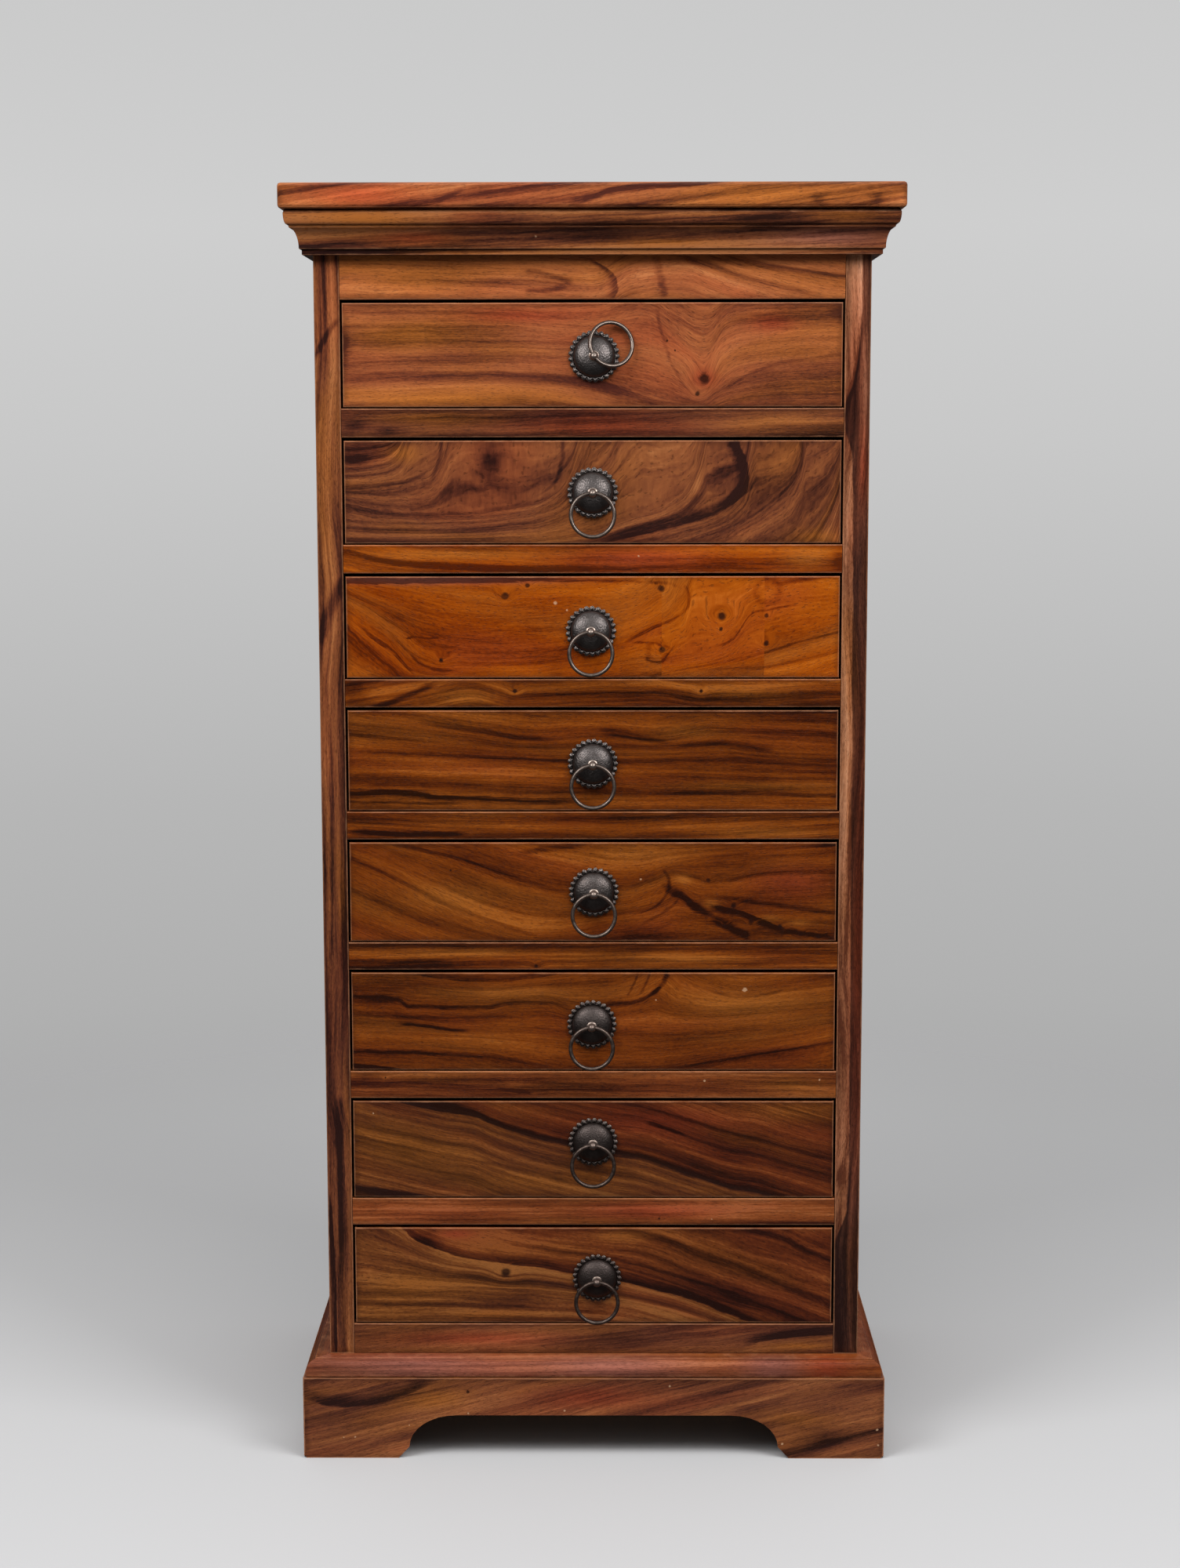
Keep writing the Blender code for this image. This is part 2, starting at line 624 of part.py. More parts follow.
def main():
    clear_scene()
    make_top_board()
    make_cornice()
    make_side("side_left", -1)
    make_side("side_right", 1)
    make_back_panel()
    make_rails()
    make_runner_frame("runner_frame_left", -1)
    make_runner_frame("runner_frame_right", 1)
    make_base_frame()
    make_plinth()
    for number in range(1, DRAWER_COUNT + 1):
        make_drawer(number)


main()
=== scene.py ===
"""Looks of the tall chest of drawers: rosewood boards, dark iron ring pulls and a pale studio.

Metres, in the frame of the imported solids: +Z up, and the drawer fronts face -Y.
The figure of a board is drawn in millimetres from the board's middle: (along the grain, across it).
"""
import json
import math
from dataclasses import dataclass

import bmesh
import bpy
from mathutils import Matrix, Vector


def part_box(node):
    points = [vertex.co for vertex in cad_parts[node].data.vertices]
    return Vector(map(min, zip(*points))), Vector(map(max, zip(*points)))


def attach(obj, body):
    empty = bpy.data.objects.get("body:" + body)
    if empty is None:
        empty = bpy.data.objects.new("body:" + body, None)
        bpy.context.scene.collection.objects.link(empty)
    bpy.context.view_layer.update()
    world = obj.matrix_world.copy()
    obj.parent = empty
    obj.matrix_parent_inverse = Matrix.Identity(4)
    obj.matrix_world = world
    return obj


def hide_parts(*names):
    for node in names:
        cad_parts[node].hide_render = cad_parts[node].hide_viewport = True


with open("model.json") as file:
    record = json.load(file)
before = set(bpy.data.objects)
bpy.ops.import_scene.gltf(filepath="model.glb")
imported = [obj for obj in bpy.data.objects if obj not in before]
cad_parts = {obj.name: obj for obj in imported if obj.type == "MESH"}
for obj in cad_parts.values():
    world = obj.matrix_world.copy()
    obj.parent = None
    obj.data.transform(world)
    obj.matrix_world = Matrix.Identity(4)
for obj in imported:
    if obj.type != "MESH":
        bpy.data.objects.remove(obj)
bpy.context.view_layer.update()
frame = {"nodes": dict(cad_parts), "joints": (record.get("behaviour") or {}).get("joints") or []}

MM = 0.001

# The photograph's frame and the camera that took it
IMAGE_HEIGHT = 2000
FOCAL_PIXELS = 3238.8
SENSOR = 36.0
CAMERA_PLACE = (0.0143, -2.6679, 1.0325)
CAMERA_PITCH = math.radians(-7.796)
CAMERA_YAW = math.radians(0.393)
CAMERA_ROLL = math.radians(-0.08)

# Places in the frame
DRAWERS = range(1, 9)
FRONT_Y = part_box("drawer_front_1")[0].y
BACK_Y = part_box("back_panel")[1].y
HALF_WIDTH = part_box("side_right")[1].x

# Wood tones in sRGB, each palette from the dark lines to the pale ones
HONEY = ((72, 34, 26), (112, 57, 34), (140, 77, 44), (158, 91, 52), (180, 112, 68))
UMBER = ((40, 21, 18), (76, 39, 27), (106, 58, 35), (128, 74, 42), (152, 95, 56))
AMBER = ((76, 26, 4), (116, 46, 3), (140, 63, 5), (156, 76, 10), (176, 94, 24))
CHESTNUT = ((36, 14, 7), (70, 28, 7), (98, 44, 8), (120, 58, 12), (146, 80, 26))
WALNUT = ((36, 18, 14), (60, 29, 17), (84, 43, 20), (106, 58, 25), (134, 82, 39))
RUSSET = ((52, 20, 12), (86, 39, 16), (106, 52, 22), (125, 65, 28), (148, 86, 46))
GARNET = ((33, 14, 10), (56, 22, 12), (80, 34, 14), (100, 46, 18), (128, 68, 30))
PLUM = ((36, 20, 17), (58, 33, 25), (82, 47, 34), (106, 65, 46), (138, 94, 70))
STRAW = ((84, 44, 28), (126, 78, 52), (156, 104, 74), (176, 126, 94), (198, 150, 118))
LINING = ((112, 78, 48), (150, 110, 72), (172, 132, 90), (188, 150, 106), (204, 168, 124))

# Wood: the dark of knots, pores, grime and painted shade, pale specks, worn edges with painted highlights,
# and hues that parts of a board lean to
DARK_COLOUR = (34, 15, 10)
SPECK_COLOUR = (205, 168, 132)
WORN_AND_HIGHLIGHT_COLOUR = (196, 136, 98)
REDDISH = (150, 58, 34)
GOLDEN = (170, 98, 36)
MAUVE = (150, 92, 82)


def linear(colour):
    """An sRGB colour, from 0 to 255, as the linear RGBA that shaders take, by the standard's own numbers."""
    parts = []
    for part in colour:
        part /= 255
        parts.append(part / 12.92 if part <= 0.04045 else ((part + 0.055) / 1.055) ** 2.4)
    return (*parts, 1.0)


def grey(level):
    return (level, level, level, 1.0)


class Value:
    """A number that varies over a surface. Sums and products of these become Math nodes."""

    def __init__(self, net, socket):
        self.net = net
        self.socket = socket

    def __add__(self, other):
        return self.net.math("ADD", self, other)

    def __sub__(self, other):
        return self.net.math("SUBTRACT", self, other)

    def __mul__(self, other):
        return self.net.math("MULTIPLY", self, other)

    def __neg__(self):
        return self * -1.0

    def __abs__(self):
        return self.net.math("ABSOLUTE", self)


@dataclass(frozen=True)
class Noise:
    """Smooth noise with its own count per metre along each axis. The shift sets it apart from the others."""

    per_metre: tuple
    detail: float = 2.0
    roughness: float = 0.5
    shift: float = 0.0


@dataclass(frozen=True)
class Fade:
    """What fades in from a start value to an end value, with a limit that noise makes ragged."""

    start: float
    end: float
    ragged: float
    strength: float = 1.0


# Sockets of a Mix node that mixes colours: the factor, both colours and the result
MIX_FACTOR = 0
MIX_FIRST = 6
MIX_SECOND = 7
MIX_RESULT = 2


class Net:
    """The nodes of a material or a world, with short ways to add and link them."""

    def __init__(self, owner, shader):
        owner.use_nodes = True
        self.owner = owner
        self.tree = owner.node_tree
        self.shader = self.tree.nodes[shader]

    def feed(self, socket, value):
        if isinstance(value, Value):
            value = value.socket
        if isinstance(value, bpy.types.NodeSocket):
            self.tree.links.new(value, socket)
        else:
            socket.default_value = value

    def add(self, kind, inputs, **settings):
        node = self.tree.nodes.new(kind)
        for name, setting in settings.items():
            setattr(node, name, setting)
        for socket, value in inputs.items():
            self.feed(node.inputs[socket], value)
        return node

    def math(self, operation, *values):
        node = self.add("ShaderNodeMath", dict(enumerate(values)), operation=operation)
        return Value(self, node.outputs[0])

    def vector(self, operation, *vectors):
        return self.add("ShaderNodeVectorMath", dict(enumerate(vectors)), operation=operation)

    def join(self, x, y, z):
        return self.add("ShaderNodeCombineXYZ", {0: x, 1: y, 2: z}).outputs[0]

    def split(self, vector):
        node = self.add("ShaderNodeSeparateXYZ", {0: vector})
        return [Value(self, socket) for socket in node.outputs]

    def place(self):
        """Where a point is when the part is at rest."""
        return self.add("ShaderNodeTexCoord", {}).outputs["Object"]

    def wear_and_painted_light(self):
        """How far a point stands out, up to 1, or lies in a crease, down to -1."""
        return Value(self, self.add("ShaderNodeAttribute", {}, attribute_name="wear_and_painted_light").outputs["Fac"])

    def noise(self, place, kind, seed=0.0):
        """Noise about 0, mostly between -0.3 and 0.3."""
        start = seed + kind.shift
        scaled = self.vector("MULTIPLY_ADD", place, kind.per_metre, (start, start, start)).outputs[0]
        inputs = {"Vector": scaled, "Scale": 1.0, "Detail": kind.detail, "Roughness": kind.roughness}
        return Value(self, self.add("ShaderNodeTexNoise", inputs).outputs[0]) - 0.5

    def share(self, value, start, end, course="LINEAR"):
        """How far a value is on its way from one number to another, from 0 to 1."""
        inputs = {"Value": value, "From Min": start, "From Max": end}
        node = self.add("ShaderNodeMapRange", inputs, interpolation_type=course)
        return Value(self, node.outputs[0])

    def ease(self, value, start, end):
        """A smooth step from 0 to 1 between two values."""
        return self.share(value, start, end, "SMOOTHSTEP")

    def fade(self, value, kind, noise):
        """How much shows of what fades in with a value."""
        return self.ease(value + noise * kind.ragged, kind.start, kind.end) * kind.strength

    def curve(self, value, points, reach, height):
        """A smooth line through (value, result) points, which lie within the reach and the height of 0.

        The node draws it in a square from 0 to 1, with those limits at its sides.
        """
        node = self.add("ShaderNodeFloatCurve", {"Value": value * (0.5 / reach) + 0.5})
        node.mapping.extend = "HORIZONTAL"
        line = node.mapping.curves[0].points
        scaled = [(0.5 + 0.5 * x / reach, 0.5 + 0.5 * y / height) for x, y in points]
        line[0].location = scaled[0]
        line[1].location = scaled[-1]
        for x, y in scaled[1:-1]:
            line.new(x, y)
        for point in line:
            point.handle_type = "AUTO_CLAMPED"
        node.mapping.update()
        return (Value(self, node.outputs[0]) - 0.5) * (2.0 * height)

    def ramp(self, value, stops):
        """Colours between stops of (position, colour)."""
        node = self.add("ShaderNodeValToRGB", {0: value})
        elements = node.color_ramp.elements
        elements[0].position, elements[0].color = stops[0]
        elements[1].position, elements[1].color = stops[-1]
        for position, colour in stops[1:-1]:
            elements.new(position).color = colour
        return node.outputs[0]

    def palette(self, value, colours):
        last = len(colours) - 1
        return self.ramp(value, [(index / last, linear(colour)) for index, colour in enumerate(colours)])

    def mix(self, factor, first, second, blend="MIX"):
        inputs = {MIX_FACTOR: factor, MIX_FIRST: first, MIX_SECOND: second}
        return self.add("ShaderNodeMix", inputs, data_type="RGBA", blend_type=blend).outputs[MIX_RESULT]

    def bump(self, height, depth):
        inputs = {"Height": height, "Strength": 1.0, "Distance": depth}
        self.feed(self.shader.inputs["Normal"], self.add("ShaderNodeBump", inputs).outputs[0])

    def finish(self, **sockets):
        """Set the shader's sockets, named with underscores for spaces."""
        for name, value in sockets.items():
            self.feed(self.shader.inputs[name.replace("_", " ")], value)
        return self.owner


def material_net(name):
    return Net(bpy.data.materials.new(name), "Principled BSDF")


@dataclass(frozen=True)
class Streak:
    """A dark line along a path.

    A soft one is dark on both sides of the path, others above it, or below it if the width is negative.
    An upright one follows its path across the grain.
    """

    path: tuple
    width: float
    strength: float
    soft: bool = True
    upright: bool = False


@dataclass(frozen=True)
class Spot:
    """A knot, a ring round one, or a pale speck."""

    place: tuple
    size: float


@dataclass(frozen=True)
class Shade:
    """A soft patch that is lighter or darker than the rest, and may lean to another hue."""

    place: tuple
    spread: tuple
    lift: float = 0.0
    hue: tuple = ()


# How far the guides of straight grain run from a board's middle, and how far from a path its guides lie
GUIDE_REACH = 310
GUIDE_OFFSET = 90


def beside(path):
    """Two guides for grain that runs beside a path."""
    offsets = (-GUIDE_OFFSET, GUIDE_OFFSET)
    return tuple(tuple((along, across + offset) for along, across in path) for offset in offsets)


def slanted(degrees):
    """Two guides for straight grain that rises by some degrees."""
    rise = GUIDE_REACH * math.tan(math.radians(degrees))
    return beside(((-GUIDE_REACH, -rise), (GUIDE_REACH, rise)))


@dataclass(frozen=True)
class Board:
    """How the wood of one board is figured.

    The guides are grain lines, from the lowest up, and the spacing is the grain between two of them.
    Bands are counted per metre across the grain, and drift and wave say how far the grain strays.
    The far palette holds beyond the divide, and the side palette behind the front.
    Staves of a given width have figures of their own.
    Wear and grime, with their painted highlights and painted shade, follow the edges of the board's box, or
    how far its mesh bulges.
    """

    palette: tuple
    seed: float
    grain: str = "X"
    guides: tuple = slanted(0.0)
    spacing: float = 180.0
    lightness: float = 0.0
    contrast: float = 1.0
    bands: float = 55.0
    drift: float = 8.0
    wave: float = 4.0
    speckle: float = 0.55
    streaks: tuple = ()
    shades: tuple = ()
    knots: tuple = ()
    rings: tuple = ()
    specks: tuple = ()
    divide: tuple = ()
    far_palette: tuple = ()
    side_palette: tuple = ()
    staves: float = 0.0
    edges: str = "box"
    depth_turn: float = 0.7


# Which of a point's axes run along the grain, across it and through the board
GRAIN_AXES = {"X": (0, 2, 1), "Y": (1, 2, 0), "Z": (2, 0, 1)}

# How far from a board's middle a drawn line may run, by the board's grain, and how far it may stray
GRAIN_REACH = {"X": 0.32, "Y": 0.32, "Z": 0.64}
DRAWN_HEIGHT = 0.8

# What is drawn on a board's front fades out between these depths behind it, and the figure falls to a share
DRAWN_DEPTH = (0.004, 0.035)
FIGURE_BEHIND = 0.65

# The wood's own waviness, its lines, fibres, pores, cloudy patches and rubbed places
DRIFT = Noise((2.2, 7.0, 7.0))
WAVE = Noise((13.0, 26.0, 26.0), shift=3.1)
TREMBLE = Noise((90.0, 160.0, 160.0), shift=5.7)
LINES = Noise((4.5, 330.0, 40.0), 3.0, 0.58)
FIBRES = Noise((45.0, 1150.0, 500.0))
FLECKS = Noise((230.0, 760.0, 760.0), 3.0, 0.6, 4.4)
PORES = Noise((200.0, 1500.0, 1500.0), 1.0, shift=1.9)
PATCHES = Noise((9.0, 16.0, 16.0), 3.0, 0.6, 9.3)
RUB = Noise((70.0, 70.0, 70.0), 3.0, shift=12.0)
WOBBLE = Noise((40.0, 60.0, 60.0), 3.0, 0.6, 7.7)
HUES = Noise((5.0, 30.0, 30.0), shift=2.3)

# Its bands, whose count across the grain is the board's own
BANDS_ALONG = 2.4
BANDS_THROUGH = 2.0
BANDS_DETAIL = 5.0
BANDS_ROUGHNESS = 0.54

# How far drawn things waver, how a knot pushes the grain aside, and how staves differ from each other
WOBBLE_ALONG = 5.0 * MM
WOBBLE_ACROSS = 3.5 * MM
KNOT_SPREAD_ALONG = 2.6
KNOT_SPREAD_ACROSS = 2.0
KNOT_PUSH = 1.5 * MM
STAVE_SHIFT_ALONG = 4.0
STAVE_SHIFT_ACROSS = 0.6

# The tone of plain wood, and what each figure adds to it
MIDDLE_TONE = 0.5
BAND_TONE = 2.3
LINE_TONE = 0.65
FIBRE_TONE = 0.55
FLECK_TONE = 0.48
STAVE_TONE = 0.35
RING_TONE = 0.22

# How strong patches, streaks and knots are, on average and by the fine lines
SHADE_STRENGTH = (0.8, 1.5)
STREAK_STRENGTH = (0.7, 2.0)
KNOT_STRENGTH = (0.9, 1.0)

# Where a streak fades out, in its widths or as a share of its length, and how far the fine lines fray it
SOFT_STREAK = (1.0, 0.15)
STREAK_EDGE = (-0.08, 0.08)
STREAK_FADE = (1.0, 0.2)
STREAK_ENDS = 0.2
STREAK_FRAY = 5.0 * MM

# How sharp the line is that divides two palettes
DIVIDE_EDGE = (-1.0 * MM, 1.0 * MM)

# Where rings, knots and specks fade out, in their own sizes
RING_FADE = (0.45, 0.0)
KNOT_FADE = Fade(1.1, 0.45, 1.2)
SPECK_FADE = Fade(1.0, 0.4, 1.5, 0.5)

# Which noise leans to a hue or makes a pore, and how much of it shows
REDDISH_LEAN = (0.0, 0.25)
REDDISH_SHARE = 0.30
GOLDEN_LEAN = (0.05, -0.2)
GOLDEN_SHARE = 0.45
SHADE_HUE_SHARE = 0.7
PORE_EDGE = (0.08, 0.20)
PORE_SHARE = 0.40

# Grime with painted shade, and worn lacquer with painted highlights, by the distance from an edge of the
# board's box or by how far a point stands out
BOX_GRIME_AND_SHADE = Fade(0.0075, 0.0005, 0.010, 0.35)
BOX_WORN_AND_HIGHLIGHT = Fade(0.0015, 0.0004, 0.0016, 0.34)
CREASE_GRIME_AND_SHADE = Fade(-0.1, -0.9, 0.3, 0.6)
ARRIS_WORN_AND_HIGHLIGHT = Fade(0.25, 0.9, 0.7, 0.6)

# The lacquer
LACQUER_ROUGHNESS = 0.30
LINE_ROUGHNESS = 0.15
RUB_ROUGHNESS = 0.10
FIBRE_BUMP = 0.4
BUMP_DEPTH = 0.00012


class Rosewood:
    """Lacquered rosewood for a board that fills a box."""

    def __init__(self, name, board, low, high):
        self.net = material_net(name)
        self.board = board
        self.half = (high - low) / 2
        self.place = self.net.place()
        self.from_middle = self.net.vector("SUBTRACT", self.place, (low + high) / 2).outputs[0]
        self.lay_axes()
        self.bend_grain()

    def noise(self, place, kind):
        return self.net.noise(place, kind, self.board.seed)

    def lay_axes(self):
        """Find where a point lies along the grain, across it and through the board."""
        net = self.net
        board = self.board
        axes = net.split(self.from_middle)
        self.along, self.across, self.through = (axes[axis] for axis in GRAIN_AXES[board.grain])
        self.stave = 0.0
        if board.staves:
            index = net.math("FLOOR", self.through * (1 / board.staves))
            white = net.add("ShaderNodeTexWhiteNoise", {"W": index + board.seed}, noise_dimensions="1D")
            self.stave = Value(net, white.outputs[0]) - 0.5
        near, far = (depth - self.half.y for depth in DRAWN_DEPTH)
        self.front = net.ease(self.through, far, near)
        self.spot = net.join(self.along + self.stave * STAVE_SHIFT_ALONG, self.across, self.through)
        wobble = self.noise(self.spot, WOBBLE)
        self.drawn_along = self.along + wobble * WOBBLE_ALONG
        self.drawn_across = self.across + wobble * WOBBLE_ACROSS

    def line(self, run, path):
        """The line through a path's points, at a place along it."""
        points = [(x * MM, y * MM) for x, y in path]
        return self.net.curve(run, points, GRAIN_REACH[self.board.grain], DRAWN_HEIGHT)

    def bend_grain(self):
        """Find the grain line that a point lies on: the guides give its course, and noise its waviness."""
        net = self.net
        board = self.board
        lines = [self.line(self.along, guide) for guide in board.guides]
        flow = self.through * board.depth_turn + self.stave * STAVE_SHIFT_ACROSS
        flow = flow + net.math("MINIMUM", self.across - lines[0], 0.0)
        flow = flow + net.math("MAXIMUM", self.across - lines[-1], 0.0)
        for lower, upper in zip(lines, lines[1:]):
            flow = flow + net.share(self.across, lower, upper) * (board.spacing * MM)
        for knot in board.knots:
            spread = (knot.size * KNOT_SPREAD_ALONG, knot.size * KNOT_SPREAD_ACROSS)
            flow = flow + self.bell(knot.place, spread) * (knot.size * KNOT_PUSH)
        flow = flow + self.noise(self.spot, DRIFT) * (board.drift * MM)
        flow = flow + self.noise(self.spot, WAVE) * (board.wave * MM)
        flow = flow + self.noise(self.spot, TREMBLE) * MM
        self.grain = net.join(self.along + self.stave * STAVE_SHIFT_ALONG, flow, self.through)

    def offset(self, place, spread):
        """A vector from a place on the board, with the spread as its unit."""
        along = (self.drawn_along - place[0] * MM) * (1 / (spread[0] * MM))
        across = (self.drawn_across - place[1] * MM) * (1 / (spread[1] * MM))
        return self.net.join(along, across, 0.0)

    def bell(self, place, spread):
        """1 at a place, falling off smoothly round it."""
        off = self.offset(place, spread)
        square = Value(self.net, self.net.vector("DOT_PRODUCT", off, off).outputs["Value"])
        return self.net.math("POWER", math.e, -square) * self.front

    def distance(self, spot):
        """How far a point is from a spot's middle, with the spot's size as its unit."""
        off = self.offset(spot.place, (spot.size, spot.size))
        return Value(self.net, self.net.vector("LENGTH", off).outputs["Value"])

    def lined(self, strength):
        """A strength that varies with the fine lines."""
        average, by_lines = strength
        return self.lines * by_lines + average

    def streak_darkness(self, streak):
        net = self.net
        run, side = self.drawn_along, self.drawn_across
        path = streak.path
        if streak.upright:
            run, side = side, run
            path = tuple((y, x) for x, y in path)
        off = (side - self.line(run, path) + self.lines * STREAK_FRAY) * (1 / (streak.width * MM))
        if streak.soft:
            shade = net.ease(abs(off), *SOFT_STREAK)
        else:
            shade = net.ease(off, *STREAK_EDGE) * net.ease(off, *STREAK_FADE)
        start, end = path[0][0] * MM, path[-1][0] * MM
        fade = STREAK_ENDS * (end - start)
        ends = net.ease(run, start, start + fade) * net.ease(run, end, end - fade)
        return shade * ends * self.front * streak.strength

    def tone(self):
        """How pale the wood is, from 0 to 1."""
        board = self.board
        kind = Noise((BANDS_ALONG, board.bands, BANDS_THROUGH), BANDS_DETAIL, BANDS_ROUGHNESS)
        bands = self.noise(self.grain, kind)
        self.lines = self.noise(self.grain, LINES)
        self.fibres = self.noise(self.grain, FIBRES)
        figure = bands * BAND_TONE + self.lines * LINE_TONE
        figure = figure * (self.front * (1 - FIGURE_BEHIND) + FIGURE_BEHIND)
        tone = figure * board.contrast + self.fibres * FIBRE_TONE
        tone = tone + self.noise(self.grain, FLECKS) * FLECK_TONE
        tone = tone + self.noise(self.spot, PATCHES) * board.speckle + self.stave * STAVE_TONE
        tone = tone + (MIDDLE_TONE + board.lightness)
        for shade in board.shades:
            if shade.lift:
                tone = tone + self.bell(shade.place, shade.spread) * self.lined(SHADE_STRENGTH) * shade.lift
        for streak in board.streaks:
            tone = tone - self.streak_darkness(streak) * self.lined(STREAK_STRENGTH)
        for ring in board.rings:
            tone = tone - self.net.ease(abs(self.distance(ring) - 1.0), *RING_FADE) * self.front * RING_TONE
        return tone

    def colour(self, tone):
        """The palettes' colours for a tone: the front's, those beyond its dividing line, and the side's."""
        net = self.net
        board = self.board
        colour = net.palette(tone, board.palette)
        if board.divide:
            above = self.drawn_across - self.line(self.drawn_along, board.divide)
            beyond = net.ease(above, *DIVIDE_EDGE)
            colour = net.mix(beyond, colour, net.palette(tone, board.far_palette))
        if board.side_palette:
            colour = net.mix(self.front, net.palette(tone, board.side_palette), colour)
        return colour

    def tint(self, colour):
        """Let streaks and patches of the wood lean to other hues."""
        net = self.net
        lean = self.noise(self.grain, HUES)
        colour = net.mix(net.ease(lean, *REDDISH_LEAN) * REDDISH_SHARE, colour, linear(REDDISH), "COLOR")
        colour = net.mix(net.ease(lean, *GOLDEN_LEAN) * GOLDEN_SHARE, colour, linear(GOLDEN), "COLOR")
        for shade in self.board.shades:
            if shade.hue:
                near = self.bell(shade.place, shade.spread) * SHADE_HUE_SHARE
                colour = net.mix(near, colour, linear(shade.hue), "COLOR")
        return colour

    def mark(self, colour):
        """Add pores, knots and pale specks."""
        net = self.net
        self.pores = net.ease(self.noise(self.grain, PORES), *PORE_EDGE)
        colour = net.mix(self.pores * PORE_SHARE, colour, linear(DARK_COLOUR))
        for knot in self.board.knots:
            near = net.fade(self.distance(knot), KNOT_FADE, self.lines) * self.front
            colour = net.mix(near * self.lined(KNOT_STRENGTH), colour, linear(DARK_COLOUR))
        for speck in self.board.specks:
            near = net.fade(self.distance(speck), SPECK_FADE, self.lines) * self.front
            colour = net.mix(near, colour, linear(SPECK_COLOUR))
        return colour

    def edge_distance(self):
        """How far a point on the board is from the nearest edge of its box."""
        net = self.net
        off = net.vector("ABSOLUTE", self.from_middle).outputs[0]
        x, y, z = net.split(net.vector("SUBTRACT", self.half, off).outputs[0])
        least = net.math("MINIMUM", x, y)
        most = net.math("MAXIMUM", x, y)
        return net.math("MAXIMUM", least, net.math("MINIMUM", most, z))

    def wear_and_painted_light(self, colour):
        """Grime and painted shade near edges and in creases, and lacquer rubbed pale with painted highlights
        on the arrises.
        """
        net = self.net
        self.rub = self.noise(self.place, RUB)
        if self.board.edges == "box":
            edge = self.edge_distance()
            grime_and_shade = net.fade(edge, BOX_GRIME_AND_SHADE, self.rub)
            worn_and_highlight = net.fade(edge, BOX_WORN_AND_HIGHLIGHT, self.rub)
        else:
            bulge = net.wear_and_painted_light()
            grime_and_shade = net.fade(bulge, CREASE_GRIME_AND_SHADE, self.rub)
            worn_and_highlight = net.fade(bulge, ARRIS_WORN_AND_HIGHLIGHT, self.rub)
        # Painted shade near edges and in creases, and painted highlights on edges and arrises, along with the
        # grime and the worn lacquer
        colour = net.mix(grime_and_shade, colour, linear(DARK_COLOUR))
        return net.mix(worn_and_highlight, colour, linear(WORN_AND_HIGHLIGHT_COLOUR))

    def build(self):
        colour = self.tint(self.colour(self.tone()))
        colour = self.wear_and_painted_light(self.mark(colour))
        self.net.bump(self.fibres * FIBRE_BUMP - self.pores, BUMP_DEPTH)
        roughness = self.lines * LINE_ROUGHNESS + self.rub * RUB_ROUGHNESS + LACQUER_ROUGHNESS
        return self.net.finish(
            Base_Color=colour, Roughness=roughness, Specular_IOR_Level=0.18,
            Coat_Weight=0.03, Coat_Roughness=0.2,
        )


# The drawer fronts, from the top down, with the figure that the photograph shows
FRONT_1 = Board(
    HONEY, 1.0, contrast=0.78, spacing=17.0, bands=50.0, lightness=-0.12,
    guides=(
        ((-260, -50), (-100, -48), (0, -58), (60, -66), (100, -66), (140, -54), (260, -48)),
        ((-260, -37), (-170, -33), (-80, -30), (-20, -38), (30, -48), (80, -56), (102, -54), (130, -40),
         (260, -32)),
        ((-260, -18), (-120, -15), (-40, -18), (0, -23), (40, -33), (80, -43), (104, -46), (125, -33),
         (170, -20),
         (260, -12)),
        ((-260, 0), (-120, 1), (0, 0), (50, -5), (85, -20), (106, -36), (124, -18), (160, -4), (260, 2)),
        ((-260, 18), (-100, 18), (0, 15), (45, 16), (72, 8), (90, -4), (108, -16), (126, 6), (160, 16),
         (260, 20)),
        ((-260, 38), (-100, 38), (0, 33), (45, 40), (62, 36), (80, 22), (108, 6), (130, 28), (170, 36),
         (260, 38)),
        ((-260, 54), (0, 52), (50, 66), (80, 54), (110, 40), (140, 56), (260, 56)),
    ),
    streaks=(
        Streak(((-270, -20), (-210, -16), (-160, -15), (-100, -15), (-60, -18), (-20, -20), (20, -28),
                (60, -42),
                (85, -50)), -16, 0.48, soft=False),
        Streak(((-270, 40), (-140, 41), (-60, 37), (20, 33)), 3, 0.22),
        Streak(((-270, 27), (-120, 28), (-40, 25)), 2.5, 0.20),
        Streak(((-270, 12), (-120, 13), (40, 10)), 3, 0.18),
        Streak(((62, 52), (70, 10), (80, -15), (96, -40)), 3, 0.28, upright=True),
        Streak(((120, -38), (160, -15), (200, -5), (270, 2)), 3, 0.24),
        Streak(((118, -20), (140, 4), (180, 12), (270, 16)), 3, 0.2),
    ),
    shades=(
        Shade((-180, 20), (60, 16), 0.14, GOLDEN), Shade((-140, -43), (100, 8), 0.22, GOLDEN),
        Shade((104, 22), (26, 26), 0.20), Shade((109, -23), (13, 9), -0.25, REDDISH),
        Shade((-70, 38), (60, 8), 0.0, REDDISH),
        Shade((174, 31), (22, 9), -0.12, REDDISH), Shade((-243, 8), (7, 16), -0.6),
        Shade((240, 40), (9, 10), -0.35),
    ),
    knots=(Spot((109, -23), 6.5), Spot((103, -37), 2.6), Spot((72, 13), 1.3), Spot((80, 4), 1.3)),
)

